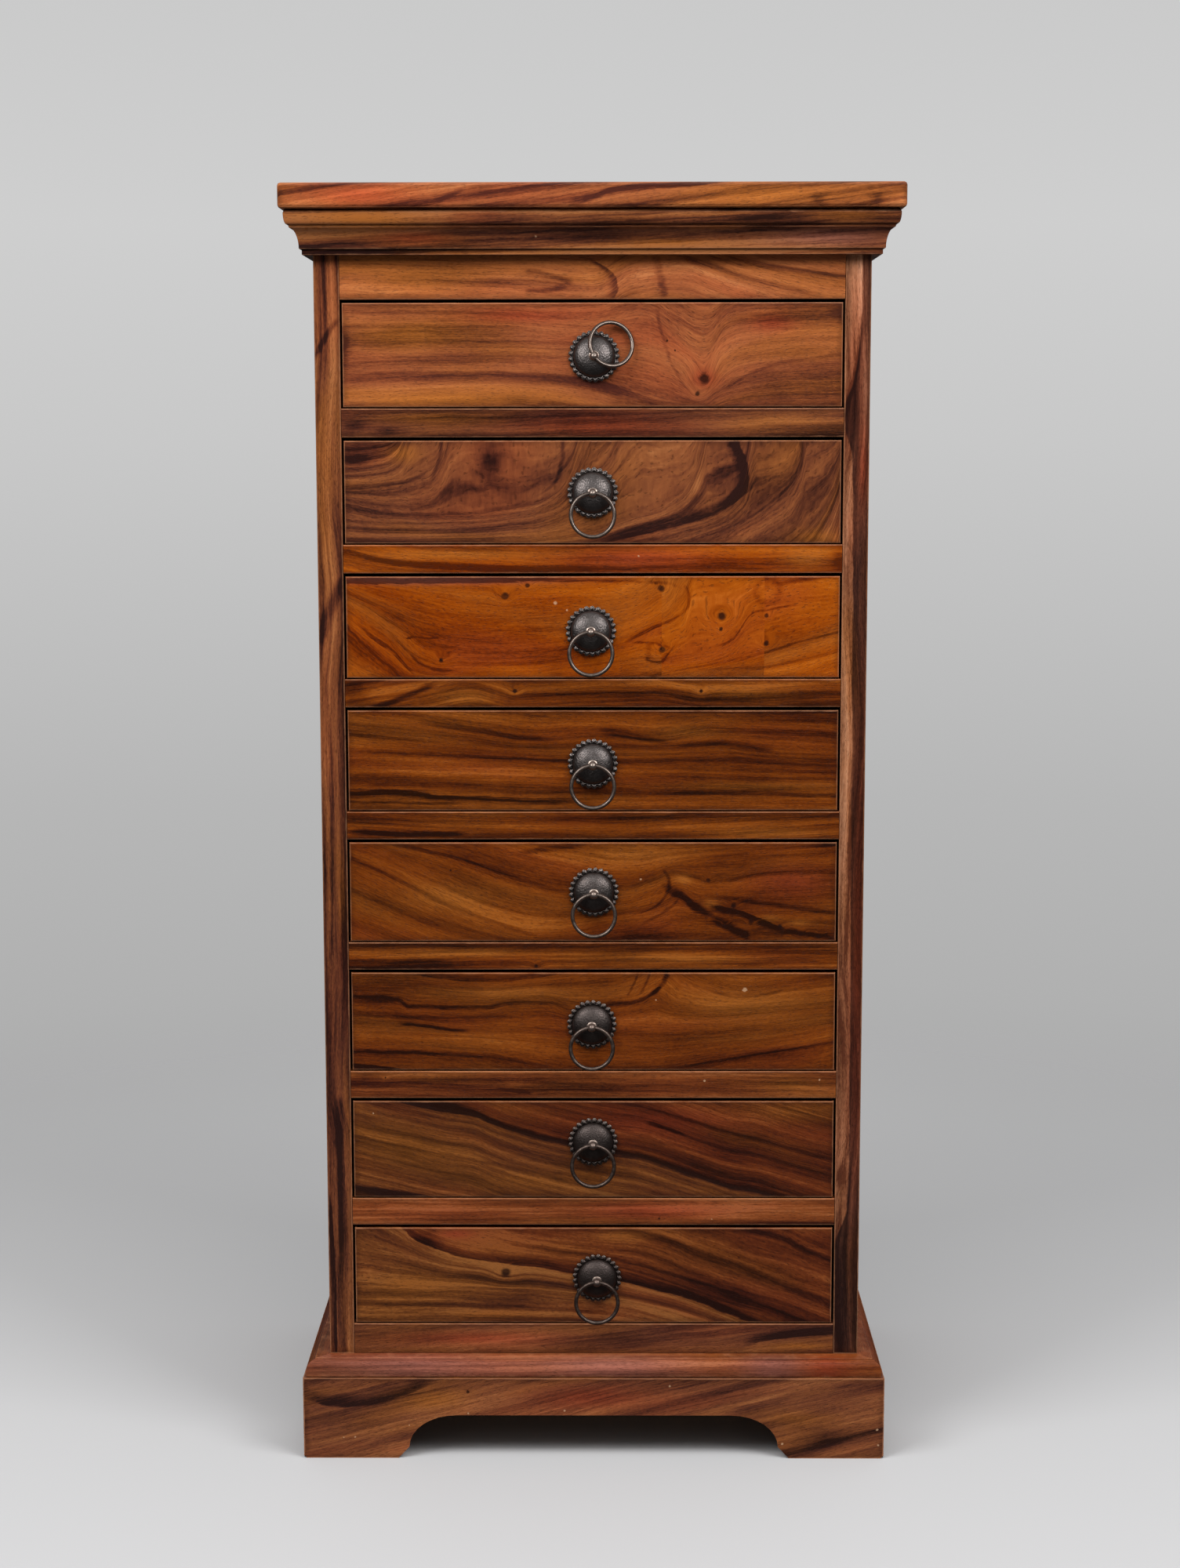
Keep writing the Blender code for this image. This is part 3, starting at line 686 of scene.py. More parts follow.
FRONT_2 = Board(
    UMBER, 2.0, contrast=1.0, spacing=15.0, bands=105.0, lightness=0.02,
    guides=(
        ((-260, -94), (120, -84), (170, -60), (205, -40), (228, -10), (240, 20), (248, 60)),
        ((-260, -74), (60, -64), (100, -52), (140, -35), (175, -10), (195, 10), (204, 35), (208, 70)),
        ((-260, -60), (0, -54), (20, -47), (70, -33), (100, -24), (125, -14), (140, -2), (149, 15),
         (154, 50),
         (160, 80)),
        ((-260, -48), (-60, -47), (0, -38), (40, -24), (75, -10), (95, 10), (106, 50), (112, 92)),
        ((-260, -35), (-160, -38), (-80, -33), (-30, -22), (5, 10), (30, 60), (50, 104)),
        ((-260, -6), (-200, -20), (-150, -22), (-90, -17), (-45, -5), (-25, 14), (-12, 60), (0, 116)),
        ((-260, 4), (-200, 8), (-170, 15), (-155, 26), (-147, 45), (-138, 90), (-120, 128)),
        ((-260, 22), (-215, 24), (-195, 30), (-186, 42), (-178, 80), (-160, 140)),
    ),
    streaks=(
        Streak(((0, -54), (40, -44), (90, -32), (125, -20), (142, -8), (170, 14)), 15, 0.74, soft=False),
        Streak(((132, -22), (150, 5), (153, 18), (148, 35), (138, 66)), -15, 0.74, soft=False,
               upright=True),
        Streak(((-270, 4), (-200, 8), (-170, 15), (-150, 28)), 3, 0.45),
        Streak(((-158, 12), (-150, 30), (-146, 60)), 3, 0.45, upright=True),
        Streak(((-270, -8), (-200, -20), (-150, -22), (-90, -17), (-40, -5), (-15, 8)), 4, 0.4),
        Streak(((-270, -34), (-160, -38), (-80, -33), (-20, -22)), 4, 0.36),
        Streak(((-60, -8), (-38, 8), (-30, 28), (-28, 60)), 3.5, 0.4, upright=True),
        Streak(((130, -40), (175, -10), (195, 10), (205, 35), (200, 62)), 3, 0.28, upright=True),
    ),
    shades=(
        Shade((-232, 30), (14, 9), -0.6), Shade((-222, 48), (30, 5), -0.55),
        Shade((-100, 30), (12, 19), -0.6),
        Shade((-135, 0), (18, 5), -0.35), Shade((-186, 38), (18, 10), 0.32, GOLDEN),
        Shade((110, 8), (18, 16), 0.3),
        Shade((60, 30), (30, 20), 0.18), Shade((220, -45), (28, 9), 0.30, GOLDEN),
        Shade((185, 25), (18, 25), 0.12),
    ),
)

FRONT_3 = Board(
    AMBER, 3.0, contrast=0.78, spacing=16.0, bands=42.0, lightness=-0.08,
    guides=(
        ((-260, -40), (-225, -58), (-190, -70), (0, -70), (60, -64), (120, -46), (180, -40), (260, -20)),
        ((-260, 12), (-225, -18), (-200, -40), (-185, -52), (-100, -57), (0, -56), (60, -50), (140, -34),
         (220, -10),
         (260, 0)),
        ((-260, 26), (-222, -5), (-195, -25), (-180, -41), (-150, -46), (-60, -44), (0, -38), (40, -31),
         (100, -25),
         (128, -19), (141, -8), (152, 8), (168, 17), (260, 28)),
        ((-260, 36), (-215, 12), (-190, -8), (-165, -26), (-100, -30), (0, -22), (35, -12), (60, 0),
         (80, 9), (92, 20),
         (97, 44), (130, 52), (260, 58)),
        ((-260, 44), (-200, 18), (-160, 2), (-100, -4), (0, 0), (40, 8), (65, 20), (78, 33), (86, 52),
         (110, 64),
         (260, 72)),
        ((-260, 50), (-180, 34), (-100, 22), (0, 22), (40, 28), (58, 42), (70, 62), (260, 86)),
        ((-260, 55), (-100, 44), (0, 46), (40, 54), (260, 98)),
    ),
    streaks=(
        Streak(((-290, 43), (-150, 43), (-60, 45), (0, 46)), 9, 0.90, soft=False),
        Streak(((-40, 46), (60, 44), (84, 40), (96, 33)), 2.5, 0.61),
        Streak(((30, -15), (60, 0), (80, 8), (93, 19)), 2.5, 0.54),
        Streak(((88, 12), (95, 24), (94, 34), (88, 44)), 2.5, 0.54, upright=True),
        Streak(((112, -22), (140, -10), (150, 5), (158, 14), (172, 17), (205, 23)), 2, 0.54),
        Streak(((30, -58), (60, -48), (140, -33), (220, -10), (290, 4)), 2.2, 0.41),
        Streak(((90, -46), (120, -42), (180, -38), (290, -10)), 2.2, 0.34),
        Streak(((170, 40), (225, 50), (290, 58)), 4, 0.54),
        Streak(((-270, 26), (-243, 2), (-225, -18), (-200, -40), (-180, -58)), 3, 0.49),
        Streak(((-236, 8), (-222, -5), (-195, -25), (-172, -52)), 3, 0.46),
        Streak(((-205, -2), (-190, -15), (-170, -35), (-130, -44)), 3, 0.41),
        Streak(((-188, -10), (-150, -10)), 1.2, 0.68),
        Streak(((36, -15), (60, -16), (80, -22)), 2.2, 0.54),
        Streak(((48, -30), (66, -34), (82, -16)), 2.2, 0.54),
    ),
    shades=(
        Shade((-75, -42), (40, 8), 0.2), Shade((172, 32), (8, 6), 0.35),
        Shade((-150, 15), (60, 16), 0.08), Shade((-160, 47), (100, 4), 0.0, MAUVE),
    ),
    knots=(
        Spot((-86, 31), 4.2), Spot((-64, 41), 2.8), Spot((67, 38), 4.2), Spot((127, 11), 5.2),
        Spot((126, -2), 2.4),
        Spot((171, 11), 2.2), Spot((171, -16), 3.2), Spot((68, -22), 4.0), Spot((-149, -32), 3.2),
    ),
    rings=(Spot((172, 36), 12), Spot((127, 11), 10), Spot((64, -24), 10)),
    specks=(Spot((-36, 24.5), 2.2), Spot((-25, 17), 1.6)),
)

FRONT_4 = Board(
    CHESTNUT, 4.0, contrast=0.88, spacing=18.0, bands=70.0, drift=5.0, lightness=-0.04,
    guides=(
        ((-260, -58), (0, -62), (260, -62)),
        ((-260, -34), (-200, -33), (-150, -36), (0, -40), (260, -41)),
        ((-260, -14), (-100, -17), (0, -20), (260, -24)),
        ((-260, 8), (-100, 2), (0, -2), (100, -2), (260, -8)),
        ((-260, 30), (-160, 22), (-60, 12), (0, 12), (88, 13), (130, 16), (165, 11), (260, 6)),
        ((-260, 50), (-160, 38), (-120, 32), (-60, 23), (20, 27), (60, 22), (120, 30), (260, 24)),
        ((-260, 68), (-100, 54), (0, 48), (100, 48), (260, 46)),
    ),
    streaks=(
        Streak(((-185, 43), (-160, 38), (-120, 32), (-60, 22), (-30, 20)), 5, 0.35),
        Streak(((-330, -34), (-243, -31), (-200, -29), (-150, -34), (-100, -36), (20, -40)), -9, 0.75,
               soft=False),
        Streak(((-300, -28), (-150, -30)), 2, 0.4),
        Streak(((-300, -41), (-120, -43)), 2.4, 0.6),
        Streak(((0, 30), (20, 28), (60, 20), (85, 17)), 5, 0.45),
        Streak(((74, 14), (88, 15), (130, 17), (165, 12), (185, 9)), 4, 0.45),
        Streak(((-80, 51), (100, 47), (290, 46)), 6, 0.5, soft=False),
        Streak(((50, -33), (150, -33), (290, -36)), 3, 0.4),
        Streak(((-270, 12), (-120, 4), (60, -4)), 2.5, 0.3),
    ),
    shades=(Shade((95, 28), (38, 7), 0.30, GOLDEN), Shade((160, -26), (90, 5), 0.28, GOLDEN),
            Shade((-90, -15), (60, 10), 0.10)),
)

FRONT_5 = Board(
    CHESTNUT, 5.0, contrast=0.75, spacing=17.0, bands=54.0, lightness=0.05,
    guides=(
        ((-260, -6), (-200, -30), (-150, -48), (-100, -60), (0, -64), (100, -60), (260, -54)),
        ((-260, 18), (-200, -8), (-150, -30), (-100, -46), (-40, -54), (40, -48), (90, -46), (140, -42),
         (180, -36),
         (260, -41)),
        ((-260, 42), (-200, 15), (-150, -10), (-100, -29), (-50, -38), (20, -30), (60, -26), (90, -20),
         (120, -22),
         (170, -24), (260, -26)),
        ((-260, 58), (-200, 36), (-150, 14), (-100, -5), (-50, -18), (0, -20), (45, -16), (70, -8), (85, 0),
         (110, -8), (150, -8), (260, -8)),
        ((-260, 68), (-200, 48), (-150, 37), (-100, 20), (-60, 8), (-20, 0), (30, 0), (60, 10), (80, 18),
         (105, 12),
         (130, 10), (170, 18), (260, 21)),
        ((-260, 78), (-150, 56), (-65, 36), (-20, 26), (30, 20), (60, 24), (80, 30), (110, 34), (150, 36),
         (260, 41)),
        ((-260, 90), (-100, 66), (-20, 50), (60, 44), (110, 46), (260, 57)),
    ),
    streaks=(
        Streak(((-80, 38), (-65, 41), (-20, 47), (0, 50)), 4.5, 0.55),
        Streak(((66, 6), (78, 1), (90, -4), (100, -14), (112, -20), (124, -23)), 7, 0.85),
        Streak(((112, -11), (130, -15), (150, -20), (168, -27), (180, -33), (196, -39)), -9, 0.95,
               soft=False),
        Streak(((116, -26), (125, -30), (148, -42), (160, -47)), 7, 0.8),
        Streak(((30, -27), (45, -22), (62, -15), (72, -3), (76, 8), (70, 26)), 3, 0.45, upright=True),
        Streak(((44, -36), (60, -27), (74, -18), (86, -6), (90, 4)), 3, 0.35),
        Streak(((-290, 54), (-243, 35), (-200, 15), (-150, -10), (-100, -30), (-30, -54)), 3.5, 0.36),
        Streak(((-220, 52), (-150, 38), (-100, 22), (-60, 8), (0, -9)), 3.5, 0.36),
        Streak(((100, 33), (150, 39), (290, 52)), 3, 0.35),
        Streak(((120, 8), (170, 18), (290, 20)), 3, 0.3),
        Streak(((110, -4), (200, -15), (290, -28)), 4, 0.4),
        Streak(((186, -40), (205, -41), (250, -49)), 4, 0.55),
    ),
    shades=(
        Shade((50, -44), (32, 9), -0.45), Shade((90, 13), (9, 5), 0.4, GOLDEN),
        Shade((118, -12), (9, 5), 0.45, GOLDEN),
        Shade((178, -27), (11, 4), 0.4, GOLDEN), Shade((206, -31), (13, 4), 0.4, GOLDEN),
        Shade((40, 38), (56, 9), 0.30, GOLDEN), Shade((236, 46), (16, 8), -0.5),
        Shade((150, -28), (44, 10), -0.35), Shade((200, 10), (45, 18), 0.0, REDDISH),
        Shade((-140, -5), (60, 16), 0.14, GOLDEN),
    ),
    knots=(
        Spot((115, 12), 2.4), Spot((225, -45), 2.6), Spot((-142, 22), 1.3), Spot((96, -9), 3.0),
        Spot((140, -14), 3.4),
        Spot((158, -30), 3.0), Spot((186, -36), 3.4), Spot((208, -42), 3.0), Spot((132, -34), 2.6),
    ),
    specks=(Spot((48, 13), 1.6),),
)

FRONT_6 = Board(
    CHESTNUT, 6.0, contrast=0.68, spacing=17.0, bands=58.0, lightness=0.03,
    guides=(
        ((-260, -52), (-180, -56), (0, -66), (260, -60)),
        ((-260, -30), (-150, -34), (-80, -42), (-40, -49), (40, -53), (100, -46), (160, -36), (260, -20)),
        ((-260, -12), (-150, -15), (-60, -22), (40, -27), (100, -24), (180, -16), (260, -2)),
        ((-260, 6), (-185, -1), (-135, -6), (-60, -4), (-20, -6), (40, -5), (100, -6), (180, 2), (260, 9)),
        ((-260, 23), (-195, 20), (-185, 15), (-110, 14), (-80, 19), (-50, 19), (-20, 11), (20, 15),
         (50, 21), (60, 26),
         (80, 17), (120, 13), (180, 17), (260, 23)),
        ((-260, 36), (-180, 33), (-100, 29), (-60, 32), (-20, 30), (20, 32), (45, 38), (60, 46), (72, 56),
         (86, 44),
         (115, 32), (150, 26), (190, 30), (260, 40)),
        ((-260, 50), (-180, 48), (-140, 42), (-100, 40), (-60, 44), (-20, 50), (40, 58), (72, 74),
         (110, 52),
         (150, 41), (190, 45), (260, 54)),
        ((-260, 68), (0, 68), (72, 92), (150, 57), (260, 68)),
    ),
    streaks=(
        Streak(((-290, 27), (-243, 26), (-195, 22), (-185, 16), (-110, 15), (-80, 20), (-50, 20), (-10, 9)),
               3.2, 0.55),
        Streak(((-205, 51), (-180, 48), (-140, 42), (-100, 40), (-60, 44), (-20, 50)), 9, 0.6, soft=False),
        Streak(((-200, -2), (-185, -3), (-160, -6), (-135, -9), (-120, -10)), 2.6, 0.65),
        Streak(((-290, -30), (-150, -33), (-80, -40), (-30, -50)), 3, 0.42),
        Streak(((-290, -41), (-243, -43), (-210, -46), (-165, -53)), -9, 0.7, soft=False),
        Streak(((4, 17), (20, 18), (50, 23), (62, 31), (72, 40)), 4.5, 0.65),
        Streak(((56, 24), (66, 34), (73, 44), (76, 60)), 4.5, 0.7, upright=True),
        Streak(((34, 24), (42, 40), (46, 60)), 2.2, 0.4, upright=True),
        Streak(((46, 26), (54, 40), (60, 60)), 2.2, 0.4, upright=True),
        Streak(((-270, 8), (-150, 4), (-60, 6)), 2.5, 0.3),
        Streak(((110, 36), (130, 28), (152, 25), (175, 28), (200, 36)), 2, 0.3),
        Streak(((60, -52), (100, -45), (160, -35), (290, -14)), 3, 0.36),
    ),
    shades=(
        Shade((-220, 22), (24, 5), -0.55), Shade((-100, 30), (90, 7), 0.34, GOLDEN),
        Shade((150, 16), (65, 22), 0.20, GOLDEN),
        Shade((170, -36), (65, 12), -0.24), Shade((-120, -20), (60, 9), 0.08),
        Shade((-30, -18), (40, 9), -0.14),
    ),
    specks=(Spot((152, 32), 2.6), Spot((63, 22), 1.2)),
)

FRONT_7_LINE = (
    (-260, 68), (-185, 50), (-150, 42), (-120, 37), (-100, 28), (-70, 18), (-40, 10), (20, -3), (50, -8),
    (80, -18),
    (110, -28), (140, -38), (165, -42), (190, -50), (260, -70),
)
FRONT_7 = Board(
    WALNUT, 7.0, contrast=0.9, bands=70.0, drift=6.0, guides=beside(FRONT_7_LINE), speckle=0.5,
    divide=FRONT_7_LINE, far_palette=GARNET, lightness=0.03,
    streaks=(
        Streak(FRONT_7_LINE, 6, 0.95),
        Streak(((-196, 52), (-150, 44), (-112, 34)), 9, 0.8),
        Streak(((-290, -32), (-243, -37), (-200, -43), (-150, -52)), -22, 0.7, soft=False),
        Streak(((50, 30), (65, 25), (85, 18), (96, 13)), 2.8, 0.55),
        Streak(((-60, 40), (20, 22), (90, 2), (180, -24)), 3, 0.35),
        Streak(((10, 52), (90, 32), (180, 6), (290, -24)), 4, 0.35),
        Streak(((-270, 20), (-160, -4), (-60, -24), (40, -46)), 3, 0.26),
    ),
    shades=(Shade((200, 40), (60, 13), 0.40, GOLDEN), Shade((-190, 0), (70, 25), 0.10, GOLDEN),
            Shade((-60, -34), (90, 12), 0.16, GOLDEN), Shade((60, 30), (80, 14), 0.12, REDDISH)),
    specks=(Spot((-223, 37), 1.3),),
)

FRONT_8_LINE = (
    (-260, 80), (-195, 50), (-185, 40), (-165, 30), (-140, 21), (-100, 14), (-60, 9), (-20, 2), (30, -6),
    (60, -14),
    (100, -25), (130, -38), (155, -48), (260, -94),
)
FRONT_8 = Board(
    WALNUT, 8.0, contrast=1.2, spacing=18.0, bands=58.0, lightness=0.23, speckle=0.45,
    divide=FRONT_8_LINE, far_palette=GARNET,
    guides=(
        ((-260, -62), (0, -66), (100, -76), (155, -100), (260, -150)),
        ((-260, -38), (-100, -40), (0, -44), (60, -53), (100, -63), (155, -84), (260, -132)),
        ((-260, -10), (-150, -12), (-60, -16), (0, -22), (60, -33), (100, -44), (155, -68), (260, -116)),
        ((-260, 40), (-200, 24), (-150, 8), (-100, 2), (-60, -3), (0, -12), (60, -24), (100, -35),
         (155, -57), (260, -104)),
        FRONT_8_LINE,
        ((-260, 96), (-150, 45), (-60, 26), (0, 18), (40, 12), (100, -8), (170, -28), (260, -60)),
        ((-260, 114), (-100, 62), (0, 46), (40, 44), (80, 34), (100, 25), (130, 15), (170, 0), (260, -36)),
        ((-260, 134), (0, 86), (80, 66), (150, 49), (190, 40), (220, 25), (260, 8)),
        ((-260, 154), (0, 110), (150, 80), (260, 52)),
    ),
    streaks=(
        Streak(FRONT_8_LINE, 11, 0.95, soft=False),
        Streak(((10, 50), (40, 45), (80, 35), (100, 25), (130, 15), (170, 0), (290, -50)), 6, 0.6),
        Streak(((130, 55), (150, 50), (190, 40), (220, 25), (290, -10)), 7, 0.6),
        Streak(((-130, 46), (-60, 30), (20, 17), (100, -5), (180, -32)), 3.5, 0.4),
        Streak(((-290, -8), (-150, -12), (-40, -18)), 2.5, 0.3),
        Streak(((-290, -30), (-100, -32), (40, -42)), 2.5, 0.25),
    ),
    shades=(
        Shade((-168, 40), (17, 11), -0.6), Shade((30, 42), (34, 7), 0.45, GOLDEN),
        Shade((-140, 44), (20, 6), 0.3, REDDISH),
        Shade((-105, -42), (50, 6), 0.24, GOLDEN), Shade((-190, -15), (50, 20), 0.10, GOLDEN),
        Shade((235, 42), (20, 12), -0.3),
    ),
    knots=(Spot((-89, 3), 6.0),),
)

FRONTS = (FRONT_1, FRONT_2, FRONT_3, FRONT_4, FRONT_5, FRONT_6, FRONT_7, FRONT_8)

# The rails between the drawers, from the top down
RAILS = (
    Board(
        UMBER, 11.0, guides=slanted(1.5), bands=85.0, drift=6.0, lightness=-0.15, contrast=0.75,
        shades=(Shade((-160, 5), (60, 6), 0.25, GOLDEN), Shade((-230, -2), (12, 5), -0.5),
                Shade((-200, -8), (14, 4), -0.5),
                Shade((0, -2), (80, 12), -0.14, REDDISH), Shade((180, 4), (50, 8), 0.12)),
    ),
    Board(
        AMBER, 12.0, guides=beside(((-260, 9), (-200, -2), (-100, -8), (-20, -10), (260, -8))), bands=80.0,
        drift=6.0,
        lightness=-0.11,
        streaks=(Streak(((-300, 14), (-243, 8), (-200, -2), (-100, -9), (20, -10)), 4, 0.6),),
        shades=(Shade((-130, 5), (80, 6), 0.30, GOLDEN), Shade((40, 0), (70, 12), -0.1, REDDISH),
                Shade((210, 0), (28, 10), 0.28, GOLDEN), Shade((243, 0), (8, 14), -0.5)),
        specks=(Spot((45, 3), 1.6),),
    ),
    Board(
        CHESTNUT, 13.0,
        guides=beside(((-260, -12), (-160, 2), (-120, 8), (-77, 0), (60, 4), (107, -2), (260, 2))),
        bands=75.0, drift=6.0, lightness=-0.05, contrast=1.1,
        streaks=(Streak(((-225, -14), (-210, -12), (-160, 8), (-150, 12)), 5, 0.7),),
        shades=(Shade((-236, 0), (14, 14), -0.5), Shade((-125, -2), (34, 8), 0.35, GOLDEN),
                Shade((150, 0), (60, 8), 0.16, GOLDEN)),
        knots=(Spot((-77, 2), 3.0), Spot((107, 2), 2.6)),
    ),
    Board(
        CHESTNUT, 14.0, guides=beside(((-260, 4), (-140, -2), (0, -4), (120, 0), (260, 7))), bands=80.0,
        drift=5.0,
        streaks=(Streak(((-250, -6), (-230, -6), (-185, -8), (-140, -8), (-120, -7)), 4, 0.8),),
        shades=(Shade((170, -7), (70, 5), 0.35, GOLDEN), Shade((20, 4), (50, 8), -0.12)),
    ),
    Board(
        CHESTNUT, 15.0, guides=slanted(0.6), bands=95.0, drift=4.0, speckle=0.5, contrast=1.3,
        lightness=-0.08,
        shades=(Shade((-120, 4), (60, 4), 0.25, GOLDEN), Shade((100, -3), (70, 4), 0.28, GOLDEN),
                Shade((200, 6), (40, 6), -0.2)),
        knots=(Spot((-57, -10), 2.6),),
    ),
    Board(
        RUSSET, 16.0, guides=slanted(-0.5), bands=58.0, drift=6.0, contrast=1.5, lightness=0.03,
        speckle=0.4,
        streaks=(Streak(((-100, -4), (-90, -5), (-70, -8), (-60, -9)), 2.4, 0.6),),
        shades=(Shade((-228, 10), (15, 3), -0.55), Shade((-80, 2), (12, 4), 0.3),
                Shade((200, 0), (40, 10), 0.22, GOLDEN)),
        knots=(Spot((-210, 7), 1.3),),
        specks=(Spot((112, 4), 1.4), Spot((228, 5), 1.3)),
    ),
    Board(
        RUSSET, 17.0, guides=slanted(0.4), bands=55.0, drift=6.0, contrast=1.7, lightness=0.11, speckle=0.4,
        shades=(Shade((-180, 3), (60, 8), 0.1), Shade((60, 0), (80, 10), 0.0, REDDISH)),
        knots=(Spot((67, -7), 1.3),),
        specks=(Spot((120, -8), 1.0),),
    ),
)

# The top board, the frieze, the bottom rail, the sides, the plinth and the mouldings
SLAB = Board(
    HONEY, 21.0, guides=slanted(8.0), bands=75.0, staves=0.095, depth_turn=1.2, speckle=0.5, lightness=0.12,
    contrast=1.5,
    side_palette=UMBER,
    streaks=(Streak(((-40, -12), (-20, -8), (0, -3), (20, 5), (100, 10), (140, 12)), 4, 0.8),
             Streak(((-150, -6), (-135, 0), (-120, 6)), 4, 0.5)),
    shades=(Shade((-220, 0), (60, 14), -0.05, REDDISH), Shade((180, 0), (90, 14), 0.12, GOLDEN),
            Shade((215, -5), (7, 5), -0.5), Shade((272, -5), (7, 6), -0.5)),
)

FRIEZE = Board(
    HONEY, 22.0, bands=48.0, lightness=0.08, speckle=0.5,
    guides=beside(((-260, 3), (-60, 0), (0, -4), (40, 14), (85, 18), (120, 8), (150, -2), (210, -16),
                   (260, -24))),
    streaks=(
        Streak(((-70, -15), (-50, -17), (-28, -24), (-14, -30)), 5, 0.6),
        Streak(((-70, -34), (-40, -33), (-20, -28)), 4, 0.5),
        Streak(((-14, 2), (15, -12), (22, -20), (25, -30), (20, -46)), -12, 0.7, soft=False, upright=True),
        Streak(((60, 4), (66, -20), (72, -46)), 6, 0.42, upright=True),
        Streak(((70, 2), (85, -2), (120, -12), (150, -22), (230, -40)), 5, 0.6),
        Streak(((95, 2), (110, -2), (200, -15), (290, -27)), 5, 0.55),
    ),
    shades=(Shade((-170, -20), (70, 18), 0.10, GOLDEN), Shade((-5, -22), (10, 14), 0.2),
            Shade((50, -20), (10, 14), 0.2)),
)

BOTTOM_RAIL = Board(
    UMBER, 23.0, guides=slanted(6.0), bands=60.0, lightness=0.04, contrast=0.85,
    streaks=(Streak(((140, -16), (170, -4), (290, 6)), 12, 0.6, soft=False),),
    shades=(Shade((215, -8), (34, 3), 0.35, GOLDEN), Shade((200, 4), (40, 8), -0.25),
            Shade((-120, 0), (90, 8), 0.12, REDDISH)),
)

LEFT_STILE = Board(
    UMBER, 24.0, grain="Z", bands=95.0, staves=0.092, contrast=1.3, drift=14.0, wave=5.0,
    guides=beside(((-600, 0), (-350, 3), (-300, -3), (-100, 2), (100, -2), (190, 4), (330, -3), (450, 4),
                   (600, 0))),
    streaks=(
        Streak(((430, -14), (455, 0), (475, 14)), 5, 0.6),
        Streak(((150, -14), (190, 0), (225, 14)), 9, 0.8),
        Streak(((-360, -2), (-330, 2), (-300, 0)), 6, 0.6),
        Streak(((-620, -4), (-420, -8), (-380, -14)), -8, 0.7, soft=False),
        Streak(((-200, -6), (0, -2), (140, -6)), 3, 0.5),
    ),
    shades=(
        Shade((380, 0), (190, 20), 0.34), Shade((-95, 8), (45, 5), 0.35, GOLDEN),
        Shade((-250, 0), (300, 30), -0.42),
    ),
)

RIGHT_STILE = Board(
    STRAW, 25.0, grain="Z", bands=80.0, staves=0.092, contrast=1.1, drift=16.0, wave=6.0,
    side_palette=UMBER,
    guides=beside(((-600, 4), (-450, -3), (-300, 5), (-120, -4), (60, 5), (240, -5), (400, 4), (600, -3))),
    divide=((-600, -14), (-460, -13), (-420, 0), (-300, 1), (0, -1), (281, -3), (340, -5), (370, -12),
            (384, -12),
            (410, -4), (470, 3), (600, 4)),
    far_palette=PLUM,
    streaks=(Streak(((365, -14), (395, -8), (430, 0), (480, 3)), 4, 0.7),
             Streak(((-200, -6), (-60, -2), (160, -4)), 3, 0.4)),
    shades=(Shade((500, -6), (110, 16), -0.05), Shade((328, 7), (45, 6), 0.25, REDDISH),
            Shade((230, 2), (200, 20), -0.30), Shade((-386, -6), (12, 6), -0.6),
            Shade((-200, -4), (330, 12), -0.48), Shade((480, 8), (150, 8), 0.18),
            Shade((-520, 0), (70, 20), -0.3), Shade((-150, 8), (260, 8), 0.0, REDDISH)),
)

PLINTH_FRONT = Board(
    UMBER, 29.0, guides=slanted(14.0), bands=48.0, lightness=0.03,
    streaks=(
        Streak(((-310, 24), (-296, 20), (-260, 12), (-220, 15), (-150, 42)), 18, 0.7, soft=False),
        Streak(((120, 4), (140, 8), (180, 18), (220, 30), (290, 42)), 6, 0.55),
    ),
    shades=(
        Shade((-165, 20), (38, 12), 0.25, GOLDEN), Shade((205, 0), (36, 8), 0.28, GOLDEN),
        Shade((235, -18), (24, 12), -0.35),
        Shade((0, 22), (70, 14), 0.06, REDDISH),
    ),
    knots=(Spot((-128, 28), 2.0),),
    specks=tuple(Spot(place, 1.3) for place in (
        (-254, -20), (-243, -20), (-187, -7), (-128, 5), (-30, 8), (77, 34), (288, -12), (290, -28),
        (192, -27),
    )),
)

CORNICE_FRONT = Board(
    UMBER, 32.0, bands=70.0, contrast=2.0, edges="bulge", guides=slanted(2.0), lightness=0.15,
    shades=(
        Shade((-220, 12), (60, 8), 0.22, GOLDEN), Shade((-100, 14), (32, 5), -0.35),
        Shade((150, 14), (55, 7), -0.2),
        Shade((245, 14), (45, 7), 0.3, GOLDEN), Shade((-12, -4), (46, 9), -0.3),
        Shade((-170, -6), (40, 7), 0.15, REDDISH),
        Shade((70, -10), (60, 4), 0.25, GOLDEN), Shade((230, -6), (60, 8), 0.0, MAUVE),
        # Painted light along the whole length: the cove in shade made lighter and the ovolo made darker
        Shade((0, -9), (300, 7), 0.12), Shade((0, 14), (300, 7), -0.07),
    ),
    specks=(Spot((-54, -4), 1.4),),
)

# The mauve that three of its patches lean to is a painted sheen on the ovolo; their lifts are the wood's own
BASE_FRONT = Board(
    RUSSET, 33.0, bands=65.0, contrast=1.1, edges="bulge", guides=slanted(1.0), lightness=0.12,
    shades=(Shade((-190, 0), (110, 20), 0.05, MAUVE), Shade((20, 0), (90, 20), 0.1, MAUVE),
            Shade((182, 0), (34, 20), -0.15, MAUVE), Shade((238, 0), (24, 20), 0.12, REDDISH)),
)

